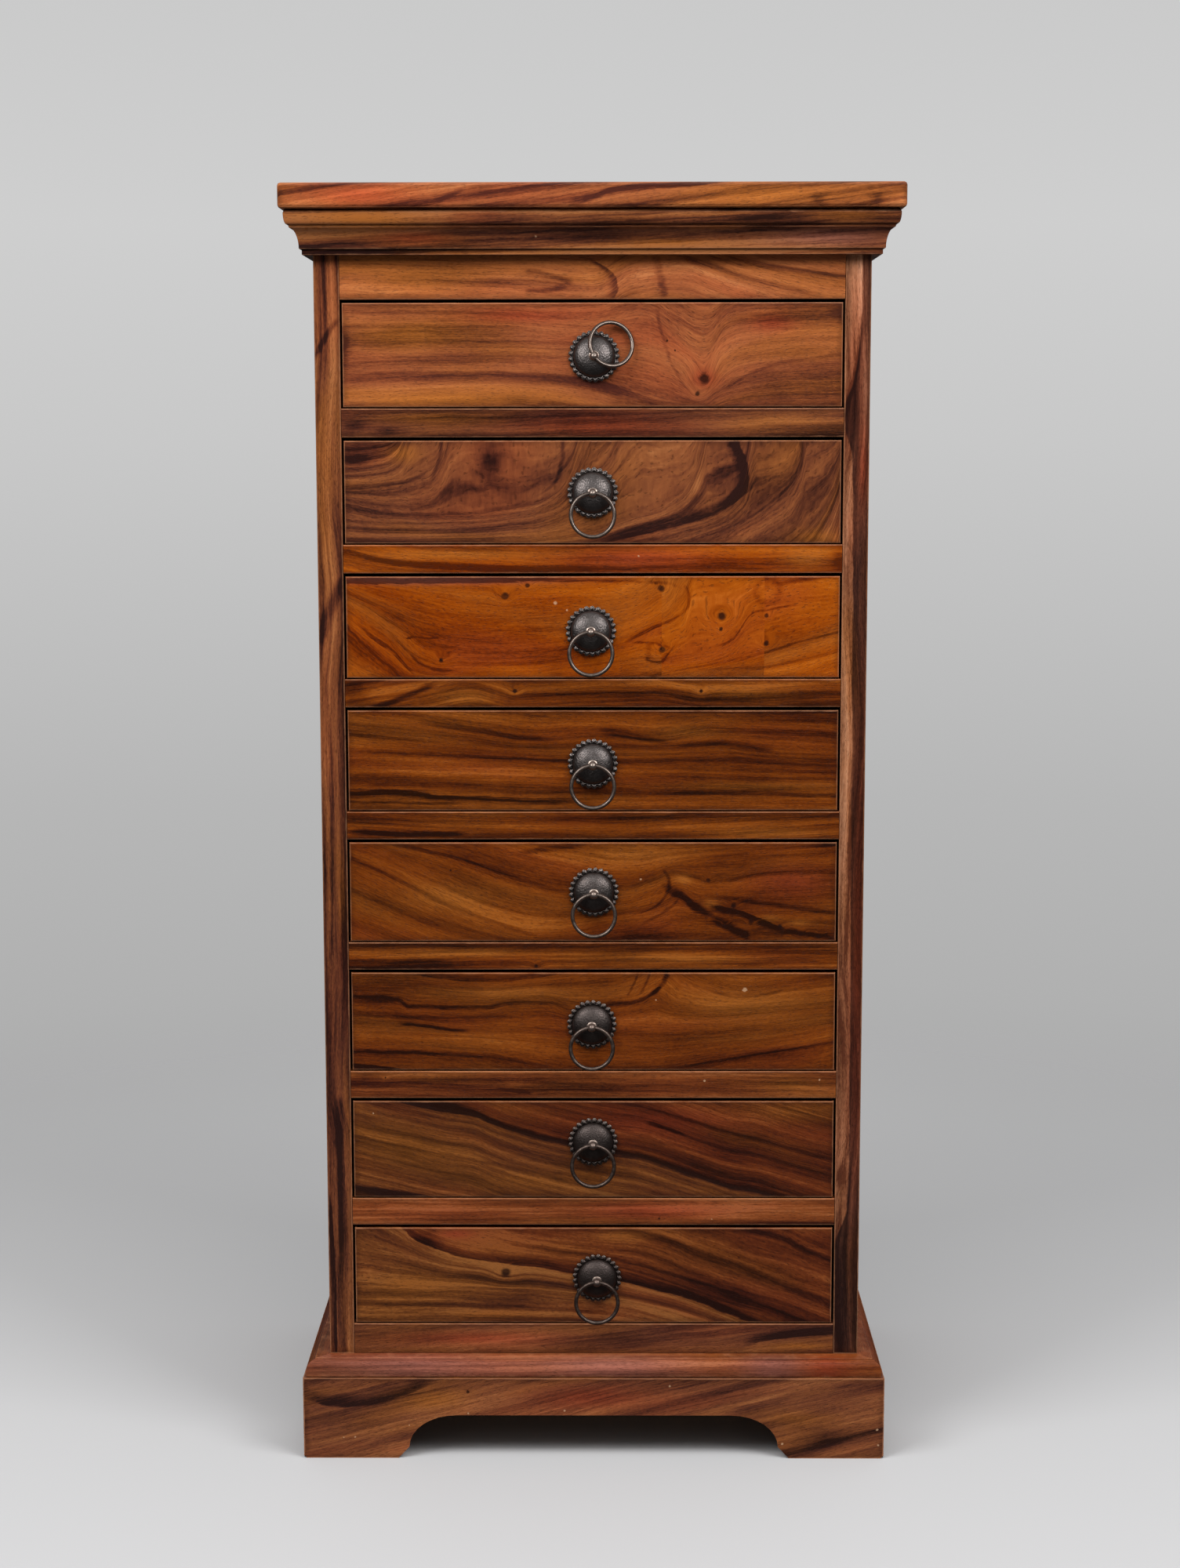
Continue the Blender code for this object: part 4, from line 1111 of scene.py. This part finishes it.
# The solids that show their own wood, apart from the drawer fronts and the rails
BOARDS = {
    "top_board": SLAB,
    "frieze_rail": FRIEZE,
    "bottom_rail": BOTTOM_RAIL,
    "side_left": LEFT_STILE,
    "side_right": RIGHT_STILE,
    "runner_frame_left": Board(LINING, 27.0, grain="Y", contrast=0.7, bands=50.0),
    "runner_frame_right": Board(LINING, 28.0, grain="Y", contrast=0.7, bands=50.0),
    "plinth_front": PLINTH_FRONT,
    "plinth_left": Board(UMBER, 30.0, grain="Y", guides=slanted(3.0), bands=45.0),
    "plinth_right": Board(UMBER, 31.0, grain="Y", guides=slanted(-3.0), bands=45.0),
}


def finish_node(node, board):
    """Give a solid of the frame its wood."""
    materials = frame["nodes"][node].data.materials
    materials.clear()
    materials.append(Rosewood(node + "_wood", board, *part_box(node)).build())


def finish_boards():
    for number, board in enumerate(FRONTS, start=1):
        finish_node(f"drawer_front_{number}", board)
    for number, board in enumerate(RAILS, start=1):
        finish_node(f"drawer_rail_{number}", board)
    for node, board in BOARDS.items():
        finish_node(node, board)


# How sharp an edge has to be to stay sharp when a mesh is shaded smooth, or to be eased
SHARP_ANGLE = math.radians(38.0)

# How many faces an eased edge has
EASE_FACES = 2

# How far a point stands out from its neighbours, as the slope of the edges to them, where wear, grime and
# their painted highlights and shade are full
FULL_WEAR_AND_PAINTED_LIGHT_SLOPE = 0.3


def new_piece(name, shape, materials):
    """Turn a bmesh into a linked object, with its faces pointing out and shaded smooth."""
    bmesh.ops.recalc_face_normals(shape, faces=shape.faces)
    mesh = bpy.data.meshes.new(name)
    shape.to_mesh(mesh)
    shape.free()
    mesh.shade_smooth()
    mesh.set_sharp_from_angle(angle=SHARP_ANGLE)
    for material in materials:
        mesh.materials.append(material)
    piece = bpy.data.objects.new(name, mesh)
    bpy.context.scene.collection.objects.link(piece)
    return piece


def stand_in(name, shape, materials, node, body):
    """A new piece that takes a solid's place and moves with its body."""
    piece = new_piece(name, shape, materials)
    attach(piece, body)
    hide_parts(node)
    return piece


def mark_wear_and_painted_light(shape):
    """Note how far each point stands out or lies in a crease, for the wear and grime of wood and iron and the
    painted shade and highlights that go with them.
    """
    shape.normal_update()
    layer = shape.verts.layers.float.new("wear_and_painted_light")
    for vert in shape.verts:
        arms = [edge.other_vert(vert).co - vert.co for edge in vert.link_edges]
        slope = sum(arm.normalized().dot(vert.normal) for arm in arms) / len(arms)
        vert[layer] = max(-1.0, min(1.0, -slope / FULL_WEAR_AND_PAINTED_LIGHT_SLOPE))


def ease_edges(shape, edges, width, finish=0):
    bmesh.ops.bevel(
        shape, geom=edges, offset=width, segments=EASE_FACES, profile=0.5, affect="EDGES", clamp_overlap=True,
        material=finish,
    )


# The domed rosette of a pull and its border of lobes, with a groove between the two
SEAT_GAP = 0.0003
DOME_RADIUS = 0.0202
DOME_RISE = 0.0083
DOME_ROWS = 14
BORDER_WIDTH = 0.0048
BORDER_TOP = 0.0032
BORDER_DROP_POWER = 1.5
BORDER_ROWS = 8
RIM_HEIGHT = 0.0024
LOBES = 25
LOBE_FACETS = 8
LOBE_DEPTH = 0.0024
LOBE_SWELL = 0.0012
GROOVE_DEPTH = 0.0006
GROOVE_SHARE = 0.15
POST_HOLE_RADIUS = 0.0034

# The post: an eye, a neck that widens from its top to its foot, a collar, a shank and a nut
EYE_RADIUS = 0.0043
EYE_HOLE_RADIUS = 0.00273
EYE_HOLE_FLARE = 1.02
EYE_ROWS = 14
NECK_TOP_RADIUS = 0.0024
NECK_WAIST_RADIUS = 0.00255
NECK_FOOT_RADIUS = 0.0033
COLLAR_RADIUS = 0.0052
COLLAR_HEIGHT = 0.0012
POST_EASE = 0.0003
SHANK_RADIUS = 0.003
CORE_RADIUS = 0.00015
NUT_RADIUS = 0.0055
NUT_HEIGHT = 0.004
FRONT_THICKNESS = 0.020
POST_FACETS = 36

# The ring
RING_WIRE_RADIUS = 0.002
RING_FACETS = 96
WIRE_FACETS = 20

# Iron: its tones from low on the chest to high up, darker low down as painted shade, its marks, and how it is
# worn, rubbed pale partly as a painted highlight; high up it is smoother
CAST_TONES = ((72, 63, 60), (80, 72, 69), (92, 86, 84))
WIRE_TONES = ((106, 91, 84), (136, 120, 111), (144, 130, 121))
IRON_GRIME = (40, 30, 25)
IRON_RUBBED_AND_HIGHLIGHT = (176, 160, 148)
SHADE_AND_SMOOTHNESS_HEIGHTS = (0.15, 0.85)
MOTTLE = Noise((260.0, 260.0, 260.0), 4.0, 0.6, 1.0)
MOTTLE_TONE = 1.2
MOTTLE_ROUGHNESS = 0.25
HEIGHT_ROUGHNESS = 0.10
HAMMER = Noise((700.0, 700.0, 700.0), shift=4.0)
GRIME_FADE = Fade(0.05, -0.5, 0.4, 0.8)
RUBBED_AND_HIGHLIGHT_FADE = Fade(0.25, 0.9, 0.8, 0.45)

JOINTS = {joint["name"]: joint for joint in frame["joints"]}


def iron(name, tones, metal, roughness, hammering):
    """Dark iron, hammered, grimy in its creases, rubbed pale with a painted highlight where it stands out,
    and darker low on the chest, which is painted shade.
    """
    net = material_net(name)
    place = net.place()
    mottle = net.noise(place, MOTTLE)
    hammer = net.noise(place, HAMMER)
    bulge = net.wear_and_painted_light()
    height_on_chest = net.ease(net.split(place)[2], *SHADE_AND_SMOOTHNESS_HEIGHTS)
    # Low on the chest the darker tones are painted shade
    colour = net.palette(mottle * MOTTLE_TONE + height_on_chest, tones)
    colour = net.mix(net.fade(bulge, GRIME_FADE, mottle), colour, linear(IRON_GRIME))
    # Rubbed pale where it stands out, partly a painted highlight on the bead tips
    colour = net.mix(net.fade(bulge, RUBBED_AND_HIGHLIGHT_FADE, mottle), colour, linear(IRON_RUBBED_AND_HIGHLIGHT))
    net.bump(hammer, hammering)
    roughness = mottle * MOTTLE_ROUGHNESS - height_on_chest * HEIGHT_ROUGHNESS + (roughness + HEIGHT_ROUGHNESS)
    return net.finish(Base_Color=colour, Roughness=roughness, Metallic=metal)


def skin(shape, rows):
    """Join closed rows of points with faces, each row to the next and the last to the first."""
    count = len(rows[0])
    for row, following in zip(rows, rows[1:] + rows[:1]):
        for index in range(count):
            shape.faces.new((row[index - 1], row[index], following[index], following[index - 1]))


def pull_matrix(number):
    """From a pull's own frame (right, up, out) to the frame of the part."""
    place = Vector(JOINTS[f"pull_{number}_swivel"]["pos_m"])
    turn = Matrix(((1, 0, 0), (0, 0, -1), (0, 1, 0))).to_4x4()
    return Matrix.Translation(place) @ turn


def dome_height(radius):
    return BORDER_TOP + DOME_RISE * math.sqrt(max(0.0, 1 - (radius / DOME_RADIUS) ** 2))


def border_point(share, lobe):
    """(radius, height) at a share of the way from dome to rim; lobe is 1 on a lobe and 0 between two."""
    radius = DOME_RADIUS + share * (BORDER_WIDTH - LOBE_DEPTH * (1 - lobe))
    groove = GROOVE_DEPTH * math.exp(-((share / GROOVE_SHARE) ** 2))
    bead = max(0.0, share - GROOVE_SHARE) / (1 - GROOVE_SHARE)
    swell = LOBE_SWELL * (lobe - 0.5) * math.sin(math.pi * bead)
    return radius, BORDER_TOP + (RIM_HEIGHT - BORDER_TOP) * share ** BORDER_DROP_POWER + swell - groove


def rosette_profile(lobe):
    """(radius, height) points from the hole over the dome to the rim, and back along the underside."""
    points = []
    for row in range(DOME_ROWS):
        turn = math.pi / 2 * row / DOME_ROWS
        radius = POST_HOLE_RADIUS + (DOME_RADIUS - POST_HOLE_RADIUS) * math.sin(turn)
        points.append((radius, dome_height(radius)))
    points += [border_point(row / BORDER_ROWS, lobe) for row in range(BORDER_ROWS + 1)]
    rim = points[-1][0]
    points += [(rim, RIM_HEIGHT / 2), (rim, SEAT_GAP), (POST_HOLE_RADIUS, SEAT_GAP)]
    return points


def rosette_shape():
    shape = bmesh.new()
    columns = []
    facets = LOBES * LOBE_FACETS
    for index in range(facets):
        turn = math.tau * index / facets
        lobe = math.sqrt(0.5 + 0.5 * math.cos(LOBES * turn))
        spoke = Vector((math.cos(turn), math.sin(turn), 0.0))
        columns.append([shape.verts.new(spoke * r + Vector((0, 0, h))) for r, h in rosette_profile(lobe)])
    skin(shape, columns)
    return shape


def add_spun(shape, profile, facets, matrix):
    """Spin a closed profile of (radius, height) points round the matrix's Z axis."""
    columns = []
    for index in range(facets):
        turn = Matrix.Rotation(math.tau * index / facets, 4, "Z")
        columns.append([shape.verts.new(matrix @ turn @ Vector((r, 0, h))) for r, h in profile])
    skin(shape, columns)


def post_profile(eye_height):
    """Neck, collar, shank and nut as a thin-cored turned profile."""
    seat = dome_height(POST_HOLE_RADIUS) + SEAT_GAP
    collar_top = seat + COLLAR_HEIGHT
    neck_top = eye_height - (EYE_RADIUS + EYE_HOLE_RADIUS) / 2
    nut_top = -FRONT_THICKNESS - SEAT_GAP
    nut_foot = nut_top - NUT_HEIGHT
    return [
        (CORE_RADIUS, neck_top), (NECK_TOP_RADIUS, neck_top),
        (NECK_WAIST_RADIUS, (neck_top + collar_top) / 2), (NECK_FOOT_RADIUS, collar_top + POST_EASE),
        (COLLAR_RADIUS - POST_EASE, collar_top), (COLLAR_RADIUS, collar_top - POST_EASE),
        (COLLAR_RADIUS, seat + POST_EASE), (COLLAR_RADIUS - POST_EASE, seat),
        (SHANK_RADIUS, seat), (SHANK_RADIUS, nut_top),
        (NUT_RADIUS - POST_EASE, nut_top), (NUT_RADIUS, nut_top - POST_EASE),
        (NUT_RADIUS, nut_foot + POST_EASE), (NUT_RADIUS - POST_EASE, nut_foot), (CORE_RADIUS, nut_foot),
    ]


def eye_profile():
    """A ball with a round hole through it, as (radius, distance along the hole) points."""
    mouth = math.asin(EYE_HOLE_RADIUS / EYE_RADIUS)
    points = []
    for row in range(EYE_ROWS + 1):
        turn = mouth + (math.pi - 2 * mouth) * row / EYE_ROWS
        points.append((EYE_RADIUS * math.sin(turn), EYE_RADIUS * math.cos(turn)))
    halfway = EYE_RADIUS * math.cos(mouth) / 2
    flare = EYE_HOLE_RADIUS * EYE_HOLE_FLARE
    points += [(flare, -halfway), (EYE_HOLE_RADIUS, 0.0), (flare, halfway)]
    return points


def facing(place, axis):
    """A matrix at a place whose Z axis points along an axis."""
    return Matrix.Translation(place) @ axis.to_track_quat("Z", "Y").to_matrix().to_4x4()


def swing_of(number):
    """The middle of a pull's eye, and the axis that its ring swings round."""
    joint = JOINTS[f"ring_{number}_swing"]
    return Vector(joint["pos_m"]), Vector(joint["axis"])


def make_rosette(number, cast):
    shape = rosette_shape()
    mark_wear_and_painted_light(shape)
    bmesh.ops.transform(shape, matrix=pull_matrix(number), verts=shape.verts)
    node = f"rosette_{number}"
    return stand_in(f"pull_rosette_{number}", shape, [cast], node, f"drawer_{number}")


def make_post(number, wire):
    eye, axis = swing_of(number)
    matrix = pull_matrix(number)
    shape = bmesh.new()
    add_spun(shape, post_profile((matrix.inverted() @ eye).z), POST_FACETS, matrix)
    add_spun(shape, eye_profile(), POST_FACETS, facing(eye, axis))
    mark_wear_and_painted_light(shape)
    node = f"eye_post_{number}"
    return stand_in(f"pull_eye_{number}", shape, [wire], node, f"swivel_{number}")


def make_hoop(number, wire):
    """The ring, whose middle is that of the solid's points."""
    eye, axis = swing_of(number)
    node = f"ring_{number}"
    points = [vert.co for vert in frame["nodes"][node].data.vertices]
    middle = sum(points, Vector()) / len(points)
    radius = (middle - eye).length
    outline = []
    for index in range(WIRE_FACETS):
        turn = math.tau * index / WIRE_FACETS
        outline.append((radius + RING_WIRE_RADIUS * math.cos(turn), RING_WIRE_RADIUS * math.sin(turn)))
    shape = bmesh.new()
    add_spun(shape, outline, RING_FACETS, facing(middle, axis.cross(middle - eye)))
    mark_wear_and_painted_light(shape)
    return stand_in(f"pull_hoop_{number}", shape, [wire], node, f"pull_ring_{number}")


def make_pulls():
    """All the ironwork, gathered for the lights that only iron mirrors."""
    cast = iron("cast_iron", CAST_TONES, metal=0.95, roughness=0.33, hammering=0.00036)
    wire = iron("iron_wire", WIRE_TONES, metal=0.92, roughness=0.31, hammering=0.00002)
    pulls = bpy.data.collections.new("pulls")
    for number in DRAWERS:
        for piece in (make_rosette(number, cast), make_post(number, wire), make_hoop(number, wire)):
            pulls.objects.link(piece)
    return pulls


# Cornice and base moulding, from the bottom up: heights of their members, and how far each stands out
CORNICE_BEAD_HEIGHT = 0.0055
CORNICE_BEAD_REACH = 0.0095
CORNICE_COVE_HEIGHT = 0.0195
CORNICE_COVE_STEP = 0.0025
CORNICE_COVE_SWEEP = 0.0085
CORNICE_FILLET_HEIGHT = 0.003
CORNICE_OVOLO_HEIGHT = 0.0142
CORNICE_OVOLO_STEP = 0.002
CORNICE_OVOLO_SWEEP = 0.0028
CORNICE_QUIRK_HEIGHT = 0.0036
CORNICE_QUIRK_DEPTH = 0.0015
BASE_INNER_REACH = -0.038
BASE_FLAT_REACH = 0.014
BASE_OVOLO_SWEEP = 0.0085
BASE_FILLET_HEIGHT = 0.0055
BASE_OVOLO_HEIGHT = 0.0105
BASE_THICKNESS = 0.017
MOULDING_STEPS = 14
MOULDING_EASE = 0.0005
MITRE_GAP = 0.00012

# By how much the noise of a moulding's lengths differs
LENGTH_SEED_STEP = 10.0


def arc_points(start, end, leaves):
    """Points of a quarter ellipse between two points, which leaves the first one level or upright."""
    corner = (end[0], start[1]) if leaves == "level" else (start[0], end[1])
    points = []
    for step in range(MOULDING_STEPS + 1):
        turn = math.pi / 2 * step / MOULDING_STEPS
        to_corner = math.sin(turn)
        past_corner = 1 - math.cos(turn)
        ways = zip(start, end, corner)
        points.append(tuple(a + (c - a) * to_corner + (b - c) * past_corner for a, b, c in ways))
    return points


def cornice_profile():
    """Bead, cove, fillet and ovolo, from the bottom up, with a flat back."""
    bead_top = CORNICE_BEAD_HEIGHT
    cove_foot = CORNICE_BEAD_REACH + CORNICE_COVE_STEP
    cove_top = bead_top + CORNICE_COVE_HEIGHT
    fillet = cove_foot + CORNICE_COVE_SWEEP
    fillet_top = cove_top + CORNICE_FILLET_HEIGHT
    ovolo_foot = fillet + CORNICE_OVOLO_STEP
    belly = ovolo_foot + CORNICE_OVOLO_SWEEP
    top = fillet_top + CORNICE_OVOLO_HEIGHT
    profile = [(SEAT_GAP, top), (SEAT_GAP, 0), (CORNICE_BEAD_REACH, 0), (CORNICE_BEAD_REACH, bead_top)]
    profile += arc_points((cove_foot, bead_top), (fillet, cove_top), "upright")
    profile.append((fillet, fillet_top))
    profile += arc_points((ovolo_foot, fillet_top), (belly, top - CORNICE_QUIRK_HEIGHT), "level")
    profile.append((belly - CORNICE_QUIRK_DEPTH, top))
    return profile


def base_profile():
    """Flat top with a step, an ovolo and a fillet; the carcass stands on the flat."""
    reach = BASE_FLAT_REACH + BASE_OVOLO_SWEEP
    ovolo_top = BASE_FILLET_HEIGHT + BASE_OVOLO_HEIGHT
    profile = [(BASE_INNER_REACH, BASE_THICKNESS), (BASE_INNER_REACH, SEAT_GAP), (reach, SEAT_GAP)]
    profile += arc_points((reach, BASE_FILLET_HEIGHT), (BASE_FLAT_REACH, ovolo_top), "upright")
    profile.append((BASE_FLAT_REACH, BASE_THICKNESS))
    return profile


def moulding_ends(side, reach):
    """Both ends of a moulding's line on a side, at some reach from the carcass."""
    outer = HALF_WIDTH + reach
    front = FRONT_Y - reach
    if side == "front":
        return (-outer + MITRE_GAP, front), (outer - MITRE_GAP, front)
    hand = -1 if side == "left" else 1
    return (hand * outer, front + MITRE_GAP), (hand * outer, BACK_Y)


def moulding_shape(profile, foot, side):
    """A mitred length of moulding with eased arrises."""
    shape = bmesh.new()
    near = []
    far = []
    for reach, height in profile:
        start, end = moulding_ends(side, reach)
        near.append(shape.verts.new((*start, foot + height)))
        far.append(shape.verts.new((*end, foot + height)))
    lengthwise = [shape.edges.new(pair) for pair in zip(near, far)]
    for index in range(len(near)):
        shape.faces.new((near[index - 1], near[index], far[index], far[index - 1]))
    bmesh.ops.recalc_face_normals(shape, faces=shape.faces)
    sharp = [edge for edge in lengthwise if edge.calc_face_angle(0.0) > SHARP_ANGLE]
    ease_edges(shape, sharp, MOULDING_EASE)
    mark_wear_and_painted_light(shape)
    bmesh.ops.holes_fill(shape, edges=shape.edges)
    return shape


def side_board(board, seed):
    """The same wood for a length that runs along a side of the chest."""
    return Board(
        board.palette, seed, grain="Y", bands=board.bands, contrast=board.contrast, edges=board.edges
    )


def make_moulding(node, profile, board):
    low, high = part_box(node)
    for index, side in enumerate(("front", "left", "right")):
        wood = board if side == "front" else side_board(board, board.seed + LENGTH_SEED_STEP * index)
        material = Rosewood(f"{node}_{side}_wood", wood, low, high).build()
        shape = moulding_shape(profile, low.z, side)
        stand_in(f"{node}_{side}", shape, [material], node, "carcass")


def make_mouldings():
    make_moulding("cornice", cornice_profile(), CORNICE_FRONT)
    make_moulding("base_frame", base_profile(), BASE_FRONT)


# The back is made of upright boards, and each drawer of four thin ones
BACK_BOARDS = 5
BACK_SEED = 50.0
BOARD_EASE = 0.0015
BOX_WALL = 0.012
BOX_BOTTOM_RISE = 0.008
BOX_BOTTOM_THICKNESS = 0.006
LINING_EASE = 0.0010

# Linings with the grain along a drawer's sides, and across it: the seeds of their noise, and their indices
LINING_SEEDS = {"Y": 61.0, "X": 62.0}
SIDE_FINISH = 0
CROSS_FINISH = 1

# How far wear and its painted shade and highlights reach from an edge, and at most which share of a narrow
# face
WEAR_AND_PAINTED_LIGHT_REACH = 0.004
WEAR_AND_PAINTED_LIGHT_SHARE = 1 / 3


def add_board(shape, low, high, ease, finish=SIDE_FINISH):
    """An eased board between two corners."""
    size = Vector(high) - Vector(low)
    place = Matrix.Translation((Vector(low) + Vector(high)) / 2) @ Matrix.Diagonal((*size, 1.0))
    verts = bmesh.ops.create_cube(shape, size=1.0, matrix=place)["verts"]
    for face in {face for vert in verts for face in vert.link_faces}:
        face.material_index = finish
    edges = list(dict.fromkeys(edge for vert in verts for edge in vert.link_edges))
    ease_edges(shape, edges, ease, finish)


def frame_flats(shape, ease):
    """Frame the flat faces of eased boards, so that wear and its painted shade and highlights stay near their
    edges.
    """
    for face in list(shape.faces):
        shortest = min(edge.calc_length() for edge in face.edges)
        if shortest > 2 * ease:
            bmesh.ops.inset_individual(shape, faces=[face], thickness=min(WEAR_AND_PAINTED_LIGHT_REACH, shortest * WEAR_AND_PAINTED_LIGHT_SHARE))


def make_back():
    low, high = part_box("back_panel")
    width = (high.x - low.x) / BACK_BOARDS
    for index in range(BACK_BOARDS):
        left = low.x + index * width
        shape = bmesh.new()
        add_board(shape, (left, low.y, low.z), (left + width, high.y, high.z), BOARD_EASE)
        frame_flats(shape, BOARD_EASE)
        mark_wear_and_painted_light(shape)
        name = f"back_board_{index + 1}"
        seed = BACK_SEED + index
        board = Board(WALNUT, seed, grain="Z", contrast=0.8, bands=48.0, edges="bulge", lightness=-0.05)
        wood = Rosewood(name + "_wood", board, low, high).build()
        stand_in(name, shape, [wood], "back_panel", "carcass")


def lining_woods():
    """Plain wood with the grain along a drawer's sides, and across it."""
    low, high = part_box("drawer_box_1")
    woods = []
    for grain, seed in LINING_SEEDS.items():
        board = Board(LINING, seed, grain=grain, contrast=0.7, bands=50.0, edges="bulge")
        woods.append(Rosewood(f"lining_{grain.lower()}_wood", board, low, high).build())
    return woods


def drawer_box_shape(low, high):
    """Two sides, a back and a bottom that sits above the edges that slide."""
    shape = bmesh.new()
    left = low.x + BOX_WALL
    right = high.x - BOX_WALL
    rear = high.y - BOX_WALL
    floor = low.z + BOX_BOTTOM_RISE
    floor_top = floor + BOX_BOTTOM_THICKNESS
    add_board(shape, low, (left, high.y, high.z), LINING_EASE)
    add_board(shape, (right, low.y, low.z), high, LINING_EASE)
    add_board(shape, (left, rear, low.z), (right, high.y, high.z), LINING_EASE, CROSS_FINISH)
    add_board(shape, (left, low.y, floor), (right, rear, floor_top), LINING_EASE, CROSS_FINISH)
    frame_flats(shape, LINING_EASE)
    mark_wear_and_painted_light(shape)
    return shape


def make_drawer_boxes():
    woods = lining_woods()
    for number in DRAWERS:
        node = f"drawer_box_{number}"
        shape = drawer_box_shape(*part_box(node))
        stand_in(f"drawer_lining_{number}", shape, woods, node, f"drawer_{number}")


# The floor: a disc of paper that fades out between two distances
FLOOR_RADIUS = 3.2
FLOOR_FACETS = 96
FLOOR_FADE = (2.2, 0.9)
FLOOR_COLOUR = (0.435, 0.435, 0.44, 1.0)


def make_floor():
    """A pale disc that fades out into the backdrop and doesn't mirror in the lacquer."""
    shape = bmesh.new()
    bmesh.ops.create_circle(shape, cap_ends=True, radius=FLOOR_RADIUS, segments=FLOOR_FACETS)
    net = material_net("floor_paper")
    distance = net.vector("LENGTH", net.place()).outputs["Value"]
    paper = net.finish(Base_Color=FLOOR_COLOUR, Roughness=0.9, Alpha=net.ease(distance, *FLOOR_FADE))
    floor = new_piece("floor", shape, [paper])
    floor.visible_glossy = False


# By how far up a ray points: the backdrop's brightness, and that of the room round the chest
BACKDROP = (
    (-0.45, 0.66), (-0.30, 0.45), (-0.25, 0.42), (-0.14, 0.47), (0.0, 0.58), (0.08, 0.62), (0.2, 0.58),
)
ROOM = ((-1.0, 0.02), (0.0, 0.03), (0.3, 0.12), (0.6, 0.48), (1.0, 0.85))


def sky(net, rise, stops):
    """Greys by the height of a direction."""
    low, high = stops[0][0], stops[-1][0]
    levels = [((height - low) / (high - low), grey(level)) for height, level in stops]
    return net.ramp(net.share(rise, low, high), levels)


def make_world():
    """The backdrop that the camera sees, and the room that lights the chest."""
    net = Net(bpy.data.worlds.new("studio"), "Background")
    rise = net.split(net.add("ShaderNodeTexCoord", {}).outputs["Generated"])[2]
    seen = net.add("ShaderNodeLightPath", {}).outputs["Is Camera Ray"]
    bpy.context.scene.world = net.finish(Color=net.mix(seen, sky(net, rise, ROOM), sky(net, rise, BACKDROP)))


# Softboxes that don't mirror in the lacquer, and lights that only the iron mirrors: place, size and power
SOFTBOXES = {
    "softbox_left": ((-1.75, -1.5, 2.6), (1.5, 1.3), 64.0),
    "softbox_right": ((1.75, -1.5, 2.6), (1.5, 1.3), 64.0),
    "softbox_top": ((0.0, -1.3, 2.9), (2.0, 1.0), 33.0),
}
GLINTS = {
    "glint_left": ((-1.35, -2.0, 1.75), (0.7, 0.9), 25.0),
    "glint_right": ((1.35, -2.0, 1.75), (0.7, 0.9), 25.0),
    "glint_front": ((0.0, -3.0, 1.5), (2.4, 2.2), 12.0),
}

# Where all the lights point
AIM = Vector((0.0, 0.0, 0.40))


def add_light(name, place, size, power):
    light = bpy.data.lights.new(name, "AREA")
    light.shape = "RECTANGLE"
    light.size, light.size_y = size
    light.energy = power
    holder = bpy.data.objects.new(name, light)
    holder.location = place
    holder.visible_camera = False
    holder.rotation_euler = (AIM - Vector(place)).to_track_quat("-Z", "Y").to_euler()
    bpy.context.scene.collection.objects.link(holder)
    return holder


def make_lights(pulls):
    for name, setting in SOFTBOXES.items():
        add_light(name, *setting).visible_glossy = False
    for name, setting in GLINTS.items():
        add_light(name, *setting).light_linking.receiver_collection = pulls


def make_camera():
    lens = bpy.data.cameras.new("camera")
    lens.sensor_width = SENSOR
    lens.lens = FOCAL_PIXELS * SENSOR / IMAGE_HEIGHT
    camera = bpy.data.objects.new("camera", lens)
    turn = Matrix.Rotation(CAMERA_YAW, 4, "Z") @ Matrix.Rotation(math.pi / 2 + CAMERA_PITCH, 4, "X")
    camera.matrix_world = Matrix.Translation(CAMERA_PLACE) @ turn @ Matrix.Rotation(CAMERA_ROLL, 4, "Z")
    bpy.context.scene.collection.objects.link(camera)
    bpy.context.scene.camera = camera


finish_boards()
iron_pulls = make_pulls()
make_mouldings()
make_back()
make_drawer_boxes()
make_floor()
make_world()
make_lights(iron_pulls)
make_camera()
bpy.context.scene.view_settings.view_transform = "Standard"
